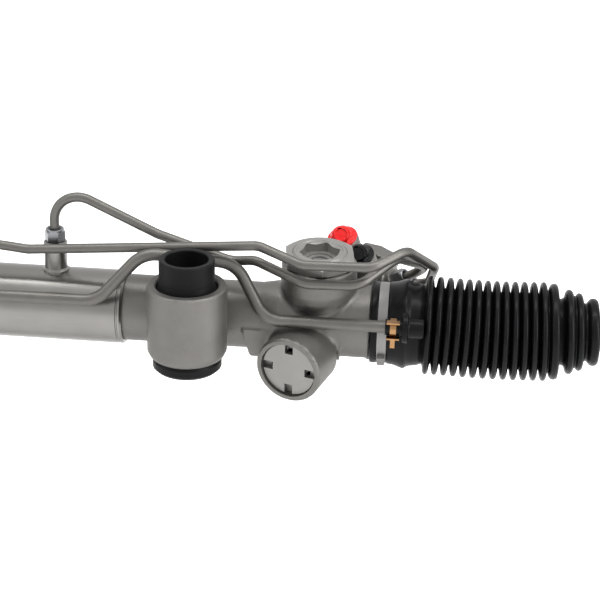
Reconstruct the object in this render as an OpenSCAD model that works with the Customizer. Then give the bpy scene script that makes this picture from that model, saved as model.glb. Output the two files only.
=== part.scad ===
// Hydraulic power steering rack: rack bar, pinion with rotary valve, power cylinder,
// gaiters, inner ball joints and tie rods, drawn in its straight-ahead position.
// Origin: centre of the mounting bush bore. +X runs along the rack axis towards the
// valve end, +Y backwards, +Z up along the bush axis. Millimetres.

/* [Rack and cylinder] */
// Diameter of the rack bar
rack_d = 26; // [24:0.5:27]
// Travel of the rack to each side
stroke = 65; // [50:1:65]
// Distance of the rack axis behind the bush axis
rack_y = 44; // [42:1:48]
// Height of the rack axis, measured from the bush centre
rack_z = -13.5; // [-18:0.5:-8]
// Outside diameter of the steel cylinder tube
tube_d = 50; // [48:0.5:52]
// Bore of the cylinder tube
tube_bore = 44; // [42:0.5:45]
// Cylinder end that faces the gear housing
tube_right_x = -48; // [-52:1:-46]
// Far end of the cylinder
tube_left_x = -350; // [-370:1:-340]

/* [Gear] */
// Where the pinion crosses the rack, along X
gear_x = 82; // [80:1:85]
// Forward lean of the rack guide, in degrees
guide_lean = 4; // [0:1:8]
// Angle of the pinion from square to the rack, in degrees
pinion_angle = 19; // [15:0.5:22]
// Distance from the rack axis to the pinion axis
pinion_drop = 15; // [14.8:0.1:16]
// Tooth module of the pinion
tooth_module = 1.8; // [1.7:0.05:1.8]
// Teeth on the pinion
pinion_teeth = 7; // [7:1:7]

/* [Mounting bush] */
// Outside diameter of the cast eye
eye_d = 52; // [50:1:54]
// Height of the cast eye
eye_h = 50; // [44:1:54]
// Bore of the steel inner sleeve, clear of an M16 bolt
bush_bore_d = 16.5; // [14:0.5:18]
// Height of the rubber collar above the eye
collar_h = 18; // [12:1:22]

/* [Saddle mount] */
// Place of the saddle along X
saddle_x = -250; // [-265:1:-235]
// Width of the saddle strap
saddle_w = 40; // [30:1:44]
// Distance between the two bolt holes
saddle_pitch = 96; // [90:1:110]
// Diameter of the bolt holes
saddle_hole_d = 12.5; // [10:0.5:14]

/* [Tie rods] */
// Diameter of the tie rod shank
tie_rod_d = 17; // [16.5:0.5:18]
// Diameter over the thread of the tie rod
thread_d = 15.8; // [13.8:0.1:15.8]
// Ball centre to the free end
tie_rod_l = 262; // [220:1:300]
// Diameter of the inner ball
ball_d = 27; // [26:0.5:27]
// Angle of the tie rods above the rack axis at rest, in degrees
tie_rod_rise = 3; // [0:0.5:3]

/* [Pipes] */
// Outside diameter of the two pressure pipes
pipe_d = 6.35; // [5:0.05:6.5]
// Outside diameter of the breather pipe
breather_d = 8; // [6:0.5:8]

/* [Hidden] */

$fn = 64;
eps = 0.01;
run_gap = 0.05;       // radial clearance of a running fit

rack_r = rack_d / 2;
tube_r = tube_d / 2;
bore_r = tube_bore / 2;
eye_r = eye_d / 2;
half_eye = eye_h / 2;

// Gear housing along the rack
neck_r = 22.5;
barrel_r = 24.5;
housing_right_x = 132;
boot_start_x = 117.8;
boot_room_r = 28;      // room for the gaiter behind the housing's neighbours
boot_seat_r = 23.5;
housing_bore_r = 15;
spigot_l = 18;

// Mirror plane between the two ball joints
mirror_x = (tube_left_x + housing_right_x) / 2;
ball_right_x = housing_right_x + stroke + 27;
socket_rear = 24;     // ball centre to the socket's rear face
washer_t = 2;
rack_right_x = ball_right_x - socket_rear - washer_t;
rack_left_x = 2 * mirror_x - rack_right_x;

// Piston and seals
piston_x = -213;
piston_w = 14;
bulkhead_w = 16;
stopper_w = 28;
seal_w = 6;
seal_r = 18;

// Meshing of rack and pinion: teeth straight along the pinion, oblique across the rack
pressure_angle = 25;
profile_shift = 0.4;
backlash = 0.3;
pitch = PI * tooth_module;
pitch_r = pinion_teeth * tooth_module / 2;
base_r = pitch_r * cos(pressure_angle);
pinion_tip_r = pitch_r + 1.167 * tooth_module;
rack_addendum = tooth_module * (1 - profile_shift);
tip_clearance = 0.35;
pinion_root_r = pitch_r - rack_addendum - tip_clearance;
tooth_thickness = tooth_module * (PI / 2 + 2 * profile_shift * tan(pressure_angle));
rack_gap_count = 29;

// Pinion axis stations, measured towards the capped end
boss_face = 49;
cap_face = 47;
boss_r = 22.75;
cap_r = 19;
lower_bearing_z = 22;
lower_bearing_w = 11;
bearing_r = 17.5;
upper_bearing_z = -33;
upper_bearing_w = 12;
flange_z = -34;
flange_t = 8;
flange_bolt_r = 32;
valve_end_z = -103;
valve_r = 24;
flange_turns = [112, 222, 330];
valve_bore_r = 20;
sleeve_from = -88;
sleeve_to = -48;
head_r = 13;
rotor_r = 10;
input_r = 9;
input_end_z = -131;
bar_r = 3;

// Rack guide stations, measured up from the rack axis
guide_r = 17;
guide_bore_r = 17.1;
tower_r = 25;
tower_h = 42;
thread_r = 18.2;
cap_top = 51;
lock_nut_af = 44;
lock_nut_t = 8;
lock_nut_turn = -22;
socket_af = 24;
socket_turn = 15;
socket_depth = 6.6;

// Cylinder port fittings
near_port_x = -96;
far_port_x = -310;
port_r = 7.6;
port_h = 20.6;
port_z = rack_z + tube_r + port_h;
nut_af = 12;
nut_h = 7.3;
nut_collar_h = 2.1;

// Pipe ports of the valve housing: place on the axis, turn about it, reach of the boss
port_a = [-84, 16, 30.5];
port_b = [-64, 34, 37.5];
plug_tilt = [-70, 0, 9];
plug_reach = 38;
pressure_port = [-8.4, 4.6, -86];
return_port = [14.2, 5.7, -62];

// Breather
breather_y = 12;
breather_end_z = -1.8;
breather_end_x = 134;
nipple_x = 139;

// Pipe corners: round numbers along each bent pipe, from the cylinder to the valve
pipe_a_route = [
  [far_port_x, rack_y, port_z + 2], [far_port_x, rack_y, 66], [-190, 32, 37.6], [-112, 33, 29.1],
  [43, 23.5, 45], [73, 11, 38.4], [118, 11, 39.4], [139, 30, 45], [158, 62, 21],
  valve_port_point(port_a, 50), valve_port_point(port_a, port_a[2] + 1)
];
pipe_b_route = [
  [near_port_x, rack_y, port_z + 2], [near_port_x, rack_y, 73.5], [-26, 40, 42.6],
  [24, 36.5, 27.8], [40, 31, 31.6], [75, 12, 24.8], [110, 12, 26], [133, 36, 37],
  valve_port_point(port_b, 66), valve_port_point(port_b, port_b[2] + 1)
];
breather_route = [
  [2 * mirror_x - breather_end_x, breather_y, breather_end_z], [-320, breather_y, breather_end_z],
  [-300, breather_y, 2], [-282, breather_y, 14.5], [-216, breather_y, 14.5],
  [-200, breather_y, 3.2], [-62, breather_y, 4.2], [-31.5, 17, 38], [28.3, 27.5, 30],
  [49.5, breather_y, -2.4], [breather_end_x, breather_y, breather_end_z]
];

steel = [0.62, 0.62, 0.6];
cast = [0.66, 0.65, 0.63];
zinc = [0.7, 0.73, 0.78];
dark_steel = [0.4, 0.4, 0.4];
rubber = [0.08, 0.08, 0.09];
plastic = [0.85, 0.85, 0.8];
brass = [0.72, 0.52, 0.25];

// Frames

// Along the rack: local z is +X, measured from the given place
module along_rack(x = 0) {
  translate([x, rack_y, rack_z]) rotate([0, 90, 0]) children();
}

// Upright at the rack axis: local z leans forward with the rack guide
module gear_frame() {
  translate([gear_x, rack_y, rack_z]) rotate([guide_lean, 0, 0]) children();
}

// Along the pinion: local z points out of the capped end, local y up
module pinion_frame() {
  gear_frame() translate([0, 0, -pinion_drop]) rotate([90, 0, -pinion_angle]) children();
}

// At the ball joint of one side: local z runs out along the tie rod
module tie_rod_frame() {
  translate([ball_right_x, rack_y, rack_z]) rotate([0, 90 - tie_rod_rise, 0]) children();
}

// The same piece on the far side
module other_side() {
  translate([2 * mirror_x, 0, 0]) mirror([1, 0, 0]) children();
}

// A point on the axis of a valve port, in the part's own frame
function pinion_to_part(p) =
  let (across = [cos(pinion_angle), -sin(pinion_angle), 0],
       out = [-sin(pinion_angle), -cos(pinion_angle), 0],
       q = p[0] * across + p[2] * out + [0, 0, p[1] - pinion_drop])
  [gear_x + q[0],
   rack_y + q[1] * cos(guide_lean) - q[2] * sin(guide_lean),
   rack_z + q[1] * sin(guide_lean) + q[2] * cos(guide_lean)];
function valve_port_point(port, reach) =
  pinion_to_part([reach * cos(port[1]), reach * sin(port[1]), port[0]]);

// Small shapes

module ring(r_out, r_in, h, z = 0) {
  translate([0, 0, z]) linear_extrude(h) difference() {
    circle(r_out);
    circle(r_in);
  }
}

module hexagon(af) {
  circle(d = af / cos(30), $fn = 6);
}

// Hexagon with both rims turned down by a chamfer
module hex_body(af, h, r_in) {
  chamfer = 0.09 * af;
  intersection() {
    linear_extrude(h) difference() {
      hexagon(af);
      circle(r_in, $fn = 64);
    }
    rotate_extrude() polygon([
      [0, 0], [af / 2 - 0.2, 0], [af / 2 + chamfer, chamfer * 0.6],
      [af / 2 + chamfer, h - chamfer * 0.6], [af / 2 - 0.2, h], [0, h]
    ]);
  }
}

// Solid of revolution from points of [radius, height]
module turned(points) {
  rotate_extrude() polygon(points);
}

// A bent tube: straight runs between the corners, each corner a bend of one radius
function unit(v) = v / norm(v);
function corner_turn(p, i) = acos(unit(p[i] - p[i - 1]) * unit(p[i + 1] - p[i]));
function corner_cut(p, i, bend_r) =
  i == 0 || i == len(p) - 1 ? 0 : bend_r * tan(corner_turn(p, i) / 2);
function columns(x, y, z, o) = [
  [x[0], y[0], z[0], o[0]], [x[1], y[1], z[1], o[1]], [x[2], y[2], z[2], o[2]], [0, 0, 0, 1]
];
function square_to(v) = unit(cross(v, abs(v[2]) < 0.8 ? [0, 0, 1] : [1, 0, 0]));

module tube_section(r_out, r_in) {
  difference() {
    circle(r_out, $fn = 32);
    circle(r_in, $fn = 32);
  }
}

// Each bend is a hair thicker than the straights, which run a little way into it
module bent_tube(route, bend_r, r_out, r_in) {
  last = len(route) - 1;
  lap = 0.4;
  swell = 0.04;
  for (i = [0 : last - 1]) {
    way = unit(route[i + 1] - route[i]);
    from = route[i] + way * (corner_cut(route, i, bend_r) - (i > 0 ? lap : 0));
    to = route[i + 1] - way * (corner_cut(route, i + 1, bend_r) - (i < last - 1 ? lap : 0));
    side = square_to(way);
    multmatrix(columns(side, cross(way, side), way, from))
      linear_extrude(norm(to - from)) tube_section(r_out, r_in);
  }
  for (i = [1 : last - 1]) {
    way_in = unit(route[i] - route[i - 1]);
    way_out = unit(route[i + 1] - route[i]);
    inward = unit(way_out - way_in * (way_in * way_out));
    centre = route[i] - way_in * corner_cut(route, i, bend_r) + inward * bend_r;
    multmatrix(columns(-inward, way_in, cross(-inward, way_in), centre))
      rotate_extrude(angle = corner_turn(route, i), $fn = 64)
        translate([bend_r, 0]) tube_section(r_out + swell, r_in - swell);
  }
}

// Gear housing

// Outline of the valve flange: a disc with three bolt ears
module flange_outline() {
  circle(27);
  for (turn = flange_turns) rotate(turn) {
    translate([flange_bolt_r, 0]) circle(8);
    translate([0, -8]) square([flange_bolt_r, 16]);
  }
}

module flange_bolt_places() {
  for (turn = flange_turns) rotate(turn) translate([flange_bolt_r, 0]) children();
}

module barrel_form() {
  along_rack() turned([
    [0, tube_right_x - spigot_l], [bore_r - 0.02, tube_right_x - spigot_l],
    [bore_r - 0.02, tube_right_x], [neck_r, tube_right_x], [neck_r, 44],
    [barrel_r, 56], [barrel_r, boot_start_x - 1], [barrel_r - 0.6, boot_start_x],
    [boot_seat_r, boot_start_x], [boot_seat_r, housing_right_x - 2],
    [boot_seat_r - 2, housing_right_x], [0, housing_right_x]
  ]);
}

module eye_form() {
  turned([
    [0, -half_eye], [eye_r - 4, -half_eye], [eye_r - 1.6, -half_eye + 1.6],
    [eye_r, -half_eye + 5], [eye_r, half_eye - 1], [eye_r - 1, half_eye], [0, half_eye]
  ]);
}

// Web that carries the eye on the barrel
module web_form() {
  translate([-19, 0, 0]) rotate([90, 0, 90]) linear_extrude(38) polygon([
    [8, half_eye - 4], [22, half_eye - 5], [rack_y, rack_z + neck_r - 3],
    [rack_y, rack_z - neck_r + 3], [22, rack_z - 12], [8, rack_z - 9]
  ]);
}

module tower_form() {
  gear_frame() turned([
    [0, 4], [12, 5], [17.8, 8.4], [21.3, 12.4], [23.6, 16.6], [25, 21.4], [tower_r + 0.6, 27],
    [tower_r, 34], [tower_r, tower_h - 1], [tower_r - 1, tower_h], [0, tower_h]
  ]);
}

module boot_room() {
  along_rack(boot_start_x - 0.3) cylinder(r = boot_room_r, h = 60);
}

module pinion_case_form() {
  difference() {
    pinion_frame() {
      turned([
        [0, flange_z + flange_t], [22.5, flange_z + flange_t], [22.5, -18], [18, -12], [18, 12],
        [20, 15], [boss_r, 20], [boss_r, boss_face - 1.2], [boss_r - 1.2, boss_face], [0, boss_face]
      ]);
      translate([0, 0, flange_z]) linear_extrude(flange_t) flange_outline();
    }
    boot_room();
  }
}

// Square-cornered pocket wall to the left of the pinion and a thin rib to its right
module gusset_form() {
  gear_frame() rotate([90, 0, 0]) linear_extrude(23.5) {
    polygon([
      [-18, -18.8], [-42.2, -18.8], [-43.6, -18.1], [-44.3, -16.6], [-48.2, -2], [-48.2, 1], [-18, 1]
    ]);
    polygon([[17.2, -1], [18.8, -1], [16.2, -18], [14.6, -18]]);
  }
}

module gear_housing() {
  color(cast) difference() {
    union() {
      barrel_form();
      eye_form();
      web_form();
      tower_form();
      pinion_case_form();
      gusset_form();
    }
    translate([0, 0, -half_eye - 1]) cylinder(d = 40, h = eye_h + 2);
    along_rack(tube_right_x - spigot_l - 1)
      cylinder(r = housing_bore_r, h = housing_right_x - tube_right_x + spigot_l + 2);
    gear_frame() {
      cylinder(r = guide_bore_r, h = tower_h + 1);
      translate([0, 0, 31]) cylinder(r = thread_r, h = tower_h);
    }
    pinion_frame() {
      translate([0, 0, flange_z - 1]) cylinder(r = bearing_r, h = upper_bearing_w + 2);
      translate([0, 0, flange_z]) cylinder(r = 11.5, h = boss_face - flange_z);
      translate([0, 0, lower_bearing_z]) cylinder(r = bearing_r, h = boss_face);
      translate([0, 0, lower_bearing_z + lower_bearing_w]) cylinder(r = cap_r, h = boss_face);
      flange_bolt_places() translate([0, 0, flange_z - 1]) cylinder(r = 4, h = flange_t + 2);
    }
  }
}

// Power cylinder

module cylinder_tube() {
  color(steel) difference() {
    along_rack() turned([
      [bore_r, tube_left_x], [boot_seat_r, tube_left_x], [boot_seat_r, tube_left_x + 15.2],
      [tube_r, tube_left_x + 17], [tube_r, tube_right_x - 4], [tube_r - 0.5, tube_right_x - 3.6],
      [tube_r - 0.5, tube_right_x - 3], [tube_r, tube_right_x - 2.6],
      [tube_r, tube_right_x - 1.2], [tube_r - 1, tube_right_x], [bore_r, tube_right_x]
    ]);
    for (x = [near_port_x, far_port_x])
      translate([x, rack_y, rack_z]) cylinder(r = 2.5, h = tube_r + 1);
  }
}

module cylinder_ports() {
  color(steel) for (x = [near_port_x, far_port_x]) difference() {
    translate([x, rack_y, rack_z]) turned([
      [2.5, 20], [8.8, 20], [8.8, tube_r + 0.6], [port_r, tube_r + 2],
      [port_r, tube_r + port_h - 3.6], [port_r - 0.6, tube_r + port_h - 3.2],
      [port_r - 0.6, tube_r + port_h - 2.6], [port_r + 0.3, tube_r + port_h - 2.2],
      [port_r + 0.3, tube_r + port_h - 0.9], [port_r - 0.6, tube_r + port_h], [2.5, tube_r + port_h]
    ]);
    along_rack(x - 12) cylinder(r = tube_r, h = 24);
  }
}

module end_stopper() {
  color(steel) along_rack(tube_left_x) difference() {
    turned([
      [rack_r + 0.1, 0], [bore_r - 2, 0], [bore_r - 0.02, 2], [bore_r - 0.02, 8],
      [bore_r - 1.5, 8], [bore_r - 1.5, 11], [bore_r - 0.02, 11], [bore_r - 0.02, stopper_w],
      [rack_r + 0.1, stopper_w]
    ]);
    translate([0, 0, stopper_w - seal_w]) cylinder(r = seal_r, h = seal_w + 1);
  }
}

module lip_seal(w, r_out, r_in) {
  turned([
    [r_in + 1.2, 0], [r_out, 0], [r_out, w], [r_out - 1.5, w], [r_out - 1.5, 2],
    [r_in + 2, 2], [r_in + 1.4, w], [r_in, w - 0.8], [r_in + 0.3, w - 2]
  ]);
}

module end_seal() {
  color(rubber) along_rack(tube_left_x + stopper_w - seal_w)
    lip_seal(seal_w, seal_r, rack_r + 0.02);
}

module inner_bulkhead() {
  from = tube_right_x - spigot_l - bulkhead_w;
  color(steel) along_rack(from) difference() {
    ring(bore_r - 0.02, rack_r + 0.1, bulkhead_w);
    translate([0, 0, -1]) cylinder(r = seal_r, h = seal_w + 1);
  }
}

module inner_seal() {
  from = tube_right_x - spigot_l - bulkhead_w;
  color(rubber) along_rack(from + seal_w) mirror([0, 0, 1])
    lip_seal(seal_w, seal_r, rack_r + 0.02);
}

// Rack bar, piston and their rings

// One gap between rack teeth, across the rack, in the pinion's own plane
module rack_gap_outline() {
  slope = tan(pressure_angle);
  tip = pitch_r - rack_addendum - 2.5;
  root = pinion_tip_r + tip_clearance;
  half = tooth_thickness / 2 + backlash / 2;
  polygon([
    [-half - (pitch_r - tip) * slope, tip], [half + (pitch_r - tip) * slope, tip],
    [half - (root - pitch_r) * slope, root], [-half + (root - pitch_r) * slope, root]
  ]);
}

module rack_bar() {
  gaps = (rack_gap_count - 1) / 2;
  flat_l = rack_gap_count * pitch / cos(pinion_angle) + 10;
  color(steel) difference() {
    along_rack() turned([
      [0, rack_left_x], [rack_r - 1, rack_left_x], [rack_r, rack_left_x + 1],
      [rack_r, piston_x - piston_w / 2 - 1.6], [rack_r - 1, piston_x - piston_w / 2 - 1.6],
      [rack_r - 1, piston_x - piston_w / 2], [rack_r, piston_x - piston_w / 2],
      [rack_r, piston_x + piston_w / 2], [rack_r - 1, piston_x + piston_w / 2],
      [rack_r - 1, piston_x + piston_w / 2 + 1.6], [rack_r, piston_x + piston_w / 2 + 1.6],
      [rack_r, rack_right_x - 1], [rack_r - 1, rack_right_x], [0, rack_right_x]
    ]);
    pinion_frame() for (i = [-gaps : gaps])
      translate([i * pitch, 0, -55]) linear_extrude(110) rack_gap_outline();
    gear_frame() translate([-flat_l / 2, -rack_r, -pinion_drop + pitch_r - rack_addendum - 10])
      cube([flat_l, rack_d, 10]);
    along_rack(rack_left_x - 1) cylinder(r = 8, h = 25);
    along_rack(rack_right_x - 24) cylinder(r = 8, h = 25);
  }
}

module piston() {
  color(steel) along_rack(piston_x - piston_w / 2) turned([
    [rack_r, 0], [bore_r - 1.5, 0], [bore_r - 0.5, 1], [bore_r - 0.5, 5], [bore_r - 2, 5],
    [bore_r - 2, 9], [bore_r - 0.5, 9], [bore_r - 0.5, 13], [bore_r - 1.5, piston_w], [rack_r, piston_w]
  ]);
}

module piston_ring() {
  color(dark_steel) along_rack(piston_x - 2) ring(bore_r - 0.03, bore_r - 2, 4);
}

module piston_clips() {
  color(steel) for (x = [piston_x - piston_w / 2 - 1.6, piston_x + piston_w / 2])
    along_rack(x) ring(rack_r + 1.5, rack_r - 1, 1.6);
}

// Mounting bush

module bush_rubber() {
  color(rubber) difference() {
    turned([
      [14, -half_eye - 8.5], [20.5, -half_eye - 8.5], [22.6, -half_eye - 6.5],
      [22.6, -half_eye - 2], [21.5, -half_eye], [20, -half_eye], [20, half_eye - 2.5],
      [18.6, half_eye - 1], [18, half_eye + 3], [18, half_eye + collar_h - 0.8],
      [17.2, half_eye + collar_h], [14.6, half_eye + collar_h], [14, half_eye + collar_h - 0.6]
    ]);
    ring(19, 17, 6, -half_eye + 2);
  }
}

module bush_sleeve() {
  color(dark_steel) turned([
    [bush_bore_d / 2, -half_eye - 9], [13, -half_eye - 9], [14, -half_eye - 8],
    [14, half_eye + 3.4], [13.2, half_eye + 4.2], [bush_bore_d / 2 + 0.8, half_eye + 4.2],
    [bush_bore_d / 2, half_eye + 3.4]
  ]);
}

// Pinion, its bearings and cap

function involute_turn(r) =
  let (a = acos(base_r / r)) (tan(a) * 180 / PI) - a;
function flank_half_turn(r) =
  tooth_thickness / (2 * pitch_r) * 180 / PI
  + tan(pressure_angle) * 180 / PI - pressure_angle - involute_turn(r);
flank_steps = 5;
function flank_r(i) = base_r + 0.001 + (pinion_tip_r - base_r - 0.001) * i / flank_steps;
function polar(r, a) = [r * cos(a), r * sin(a)];

module pinion_outline() {
  polygon([for (tooth = [0 : pinion_teeth - 1])
    let (mid = 90 + tooth * 360 / pinion_teeth)
    each concat(
      [polar(pinion_root_r, mid - flank_half_turn(flank_r(0)))],
      [for (i = [0 : flank_steps]) polar(flank_r(i), mid - flank_half_turn(flank_r(i)))],
      [for (i = [flank_steps : -1 : 0]) polar(flank_r(i), mid + flank_half_turn(flank_r(i)))],
      [polar(pinion_root_r, mid + flank_half_turn(flank_r(0)))]
    )]);
}

module pinion_shaft() {
  color(steel) pinion_frame() difference() {
    union() {
      translate([0, 0, -17.5]) linear_extrude(34) pinion_outline();
      turned([[0, -58], [head_r, -58], [head_r, -44], [rotor_r, -44], [rotor_r, -17], [0, -17]]);
      turned([
        [0, 15.7], [9, 15.7], [9, lower_bearing_z], [7.5, lower_bearing_z], [7.5, 33],
        [6, 34], [6, 42], [0, 42]
      ]);
      }
    translate([0, 0, -59]) cylinder(r = bar_r, h = 33);
  }
}

module pinion_nut() {
  color(zinc) pinion_frame() translate([0, 0, 34.1]) hex_body(18, 7.2, 6.02);
}

module pinion_cap() {
  slot_w = 5.6;
  color(cast) pinion_frame() difference() {
    turned([
      [0, 43], [14, 43], [14, 33], [cap_r, 33], [cap_r, cap_face - 0.8], [cap_r - 0.8, cap_face], [0, cap_face]
    ]);
    for (turn = [0, 90, 180, 270]) rotate(turn)
      translate([11.4, -slot_w / 2, cap_face - 4]) cube([10, slot_w, 5]);
  }
}

module lower_bearing_outer() {
  ball_r = 2.9;
  color(steel) pinion_frame() translate([0, 0, lower_bearing_z]) {
    difference() {
      ring(bearing_r, 14.2, lower_bearing_w);
      translate([0, 0, lower_bearing_w / 2]) rotate_extrude()
        translate([12.5, 0]) circle(ball_r + run_gap, $fn = 32);
    }
    for (i = [0 : 8]) rotate(i * 40)
      translate([12.5, 0, lower_bearing_w / 2]) sphere(r = ball_r, $fn = 32);
  }
}

module lower_bearing_inner() {
  color(steel) pinion_frame() translate([0, 0, lower_bearing_z]) difference() {
    ring(10.8, 7.5, lower_bearing_w);
    translate([0, 0, lower_bearing_w / 2]) rotate_extrude()
      translate([12.5, 0]) circle(2.95, $fn = 32);
  }
}

module upper_bearing() {
  needle_r = 1.5;
  needle_pitch_r = rotor_r + run_gap + needle_r;
  color(steel) pinion_frame() translate([0, 0, upper_bearing_z]) {
    ring(bearing_r, needle_pitch_r + needle_r + 0.02, upper_bearing_w);
    for (i = [0 : 15]) rotate(i * 22.5) translate([needle_pitch_r, 0, 1])
      cylinder(r = needle_r, h = upper_bearing_w - 2, $fn = 24);
  }
}

// Rotary valve

module plug_port_place(at) {
  pinion_frame() translate(at) rotate(plug_tilt) children();
}

module pipe_port_place(port) {
  pinion_frame() translate([0, 0, port[0]]) rotate([0, 0, port[1]]) rotate([0, 90, 0]) children();
}

module valve_housing() {
  color(cast) difference() {
    union() {
      difference() {
        pinion_frame() {
          translate([0, 0, flange_z - flange_t]) linear_extrude(flange_t) flange_outline();
          turned([
            [0, valve_end_z], [19, valve_end_z], [20.8, valve_end_z + 2], [20.8, valve_end_z + 11],
            [valve_r, valve_end_z + 14], [valve_r, flange_z - flange_t], [25.5, flange_z - 4], [0, flange_z - 4]
          ]);
          translate([0, 0, -98]) linear_extrude(14)
            polygon([[-8, 0], [-8, 26], [-6, 28], [6, 28], [17, 24.5], [18.6, 22], [18.6, 0]]);
        }
        boot_room();
      }
      for (at = [pressure_port, return_port]) plug_port_place(at) turned([
        [0, 0], [11.2, 0], [11.2, plug_reach - 0.8], [10.4, plug_reach], [0, plug_reach]
      ]);
      for (port = [port_a, port_b]) pipe_port_place(port) cylinder(r = 9, h = port[2]);
    }
    pinion_frame() {
      translate([0, 0, -90]) cylinder(r = valve_bore_r, h = 60);
      translate([0, 0, valve_end_z - 1]) cylinder(r = 14, h = 20);
      translate([0, 0, valve_end_z + 0.8]) cylinder(r = 15, h = 1.4);
      flange_bolt_places() translate([0, 0, flange_z - flange_t - 1]) cylinder(r = 4.3, h = flange_t + 2);
    }
    plug_port_place(pressure_port) translate([0, 0, 15]) cylinder(r = 6, h = 30);
    plug_port_place(return_port) translate([0, 0, 15]) cylinder(r = 7, h = 30);
    for (port = [port_a, port_b]) pipe_port_place(port) translate([0, 0, 15]) cylinder(r = 2.5, h = 30);
  }
}

module valve_bolts() {
  color(zinc) pinion_frame() flange_bolt_places() translate([0, 0, flange_z - flange_t]) {
    mirror([0, 0, 1]) hex_body(13, 5, 0.01);
    cylinder(r = 4, h = 14);
  }
}

module valve_sleeve() {
  ring_places = [sleeve_from + 3, sleeve_from + 14, sleeve_from + 25, sleeve_from + 34];
  color(steel) pinion_frame() difference() {
    translate([0, 0, sleeve_from]) cylinder(r = valve_bore_r - 0.8, h = sleeve_to - sleeve_from);
    translate([0, 0, sleeve_from - 1]) cylinder(r = rotor_r + run_gap, h = 60);
    translate([0, 0, -58.5]) cylinder(r = head_r, h = 20);
    for (z = ring_places) ring(valve_bore_r, 18, 2.4, z);
    for (turn = [0 : 60 : 300]) for (z = [sleeve_from + 9, sleeve_from + 20])
      rotate(turn) translate([0, 0, z]) rotate([0, 90, 0]) cylinder(r = 1.6, h = 25);
  }
}

module valve_sleeve_rings() {
  ring_places = [sleeve_from + 3, sleeve_from + 14, sleeve_from + 25, sleeve_from + 34];
  color(dark_steel) pinion_frame() for (z = ring_places) ring(valve_bore_r - 0.03, 18, 2.4, z);
}

// Spline teeth of the input shaft, as one star outline
module spline_outline() {
  teeth = 24;
  polygon([for (i = [0 : teeth - 1]) let (a = i * 360 / teeth) each [
    polar(7.7, a - 4.6), polar(8.5, a - 2.4), polar(8.5, a + 2.4), polar(7.7, a + 4.6)
  ]]);
}

module input_shaft() {
  color(steel) pinion_frame() difference() {
    union() {
      turned([
        [0, -112], [input_r, -112], [input_r, sleeve_from - 0.5], [rotor_r, sleeve_from + 0.5],
        [rotor_r, -59.5], [0, -59.5]
      ]);
      translate([0, 0, -124]) cylinder(r = 7.5, h = 13);
      translate([0, 0, -121]) linear_extrude(9) spline_outline();
      translate([0, 0, input_end_z + 1]) linear_extrude(7) spline_outline();
      translate([0, 0, input_end_z]) cylinder(r1 = 7, r2 = 7.6, h = 1.5);
    }
    translate([0, 0, -126]) cylinder(r = bar_r + run_gap, h = 70);
    for (turn = [0 : 60 : 300]) rotate(turn) translate([rotor_r, 0, sleeve_from + 4])
      cylinder(r = 1.4, h = 22, $fn = 24);
  }
}

module torsion_bar() {
  color(steel) pinion_frame() turned([
    [0, -125.5], [bar_r, -125.5], [bar_r, -116], [2.4, -113], [2.4, -62], [bar_r, -59],
    [bar_r, -26.5], [0, -26.5]
  ]);
}

module pinion_seal() {
  color(rubber) pinion_frame() translate([0, 0, -41]) ring(valve_bore_r, rotor_r + run_gap, 6);
}

module input_seal() {
  color(rubber) pinion_frame() translate([0, 0, -98]) ring(14, input_r + run_gap, 6);
}

module input_snap_ring() {
  color(zinc) pinion_frame() translate([0, 0, valve_end_z + 0.9]) difference() {
    ring(15, 12.6, 1.2);
    translate([0, -2, -1]) cube([20, 4, 4]);
  }
}

module dust_cover() {
  color(rubber) pinion_frame() turned([
    [input_r + run_gap, -111], [11, -111], [12.5, -108.5], [17, valve_end_z - 2], [17, valve_end_z],
    [10.5, valve_end_z], [input_r + run_gap, -105]
  ]);
}

// Rack guide

module rack_guide() {
  color(cast) gear_frame() difference() {
    translate([0, 0, 2]) cylinder(r = guide_r, h = 28);
    rotate([0, 90, 0]) cylinder(r = rack_r + 1, h = 60, center = true);
    translate([0, 0, 19]) cylinder(r = 11, h = 20);
    ring(guide_r + 1, 15.6, 2.8, 24);
  }
}

module guide_liner() {
  color(plastic) gear_frame() rotate([0, 90, 0]) translate([0, 0, -14])
    rotate([0, 0, 125]) rotate_extrude(angle = 110)
      translate([rack_r + 0.03, 0]) square([0.97, 28]);
}

module guide_o_ring() {
  color(rubber) gear_frame() translate([0, 0, 25.4])
    rotate_extrude() translate([16.9 - 0.03, 0]) intersection() {
      circle(1.3, $fn = 32);
      translate([-1.27, -2]) square([1.5, 4]);
    }
}

// Coil spring: a round wire swept along a helix
spring_turns = 3;
spring_steps = 14;
spring_sides = 8;
spring_mean_r = 8.6;
spring_wire_r = 1.5;
spring_low = 19 + spring_wire_r;
spring_high = 40.5 - spring_wire_r;
function spring_point(i, j) =
  let (n = spring_turns * spring_steps, a = i * 360 / spring_steps,
       b = j * 360 / spring_sides, r = spring_mean_r + spring_wire_r * cos(b))
  [r * cos(a), r * sin(a), spring_low + (spring_high - spring_low) * i / n + spring_wire_r * sin(b)];

module guide_spring() {
  n = spring_turns * spring_steps;
  s = spring_sides;
  color(zinc) gear_frame() polyhedron(
    points = [for (i = [0 : n], j = [0 : s - 1]) spring_point(i, j)],
    faces = concat(
      [[for (j = [0 : s - 1]) j]],
      [for (i = [0 : n - 1], j = [0 : s - 1])
        [i * s + j, (i + 1) * s + j, (i + 1) * s + (j + 1) % s, i * s + (j + 1) % s]],
      [[for (j = [s - 1 : -1 : 0]) n * s + j]]
    ));
}

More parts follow.
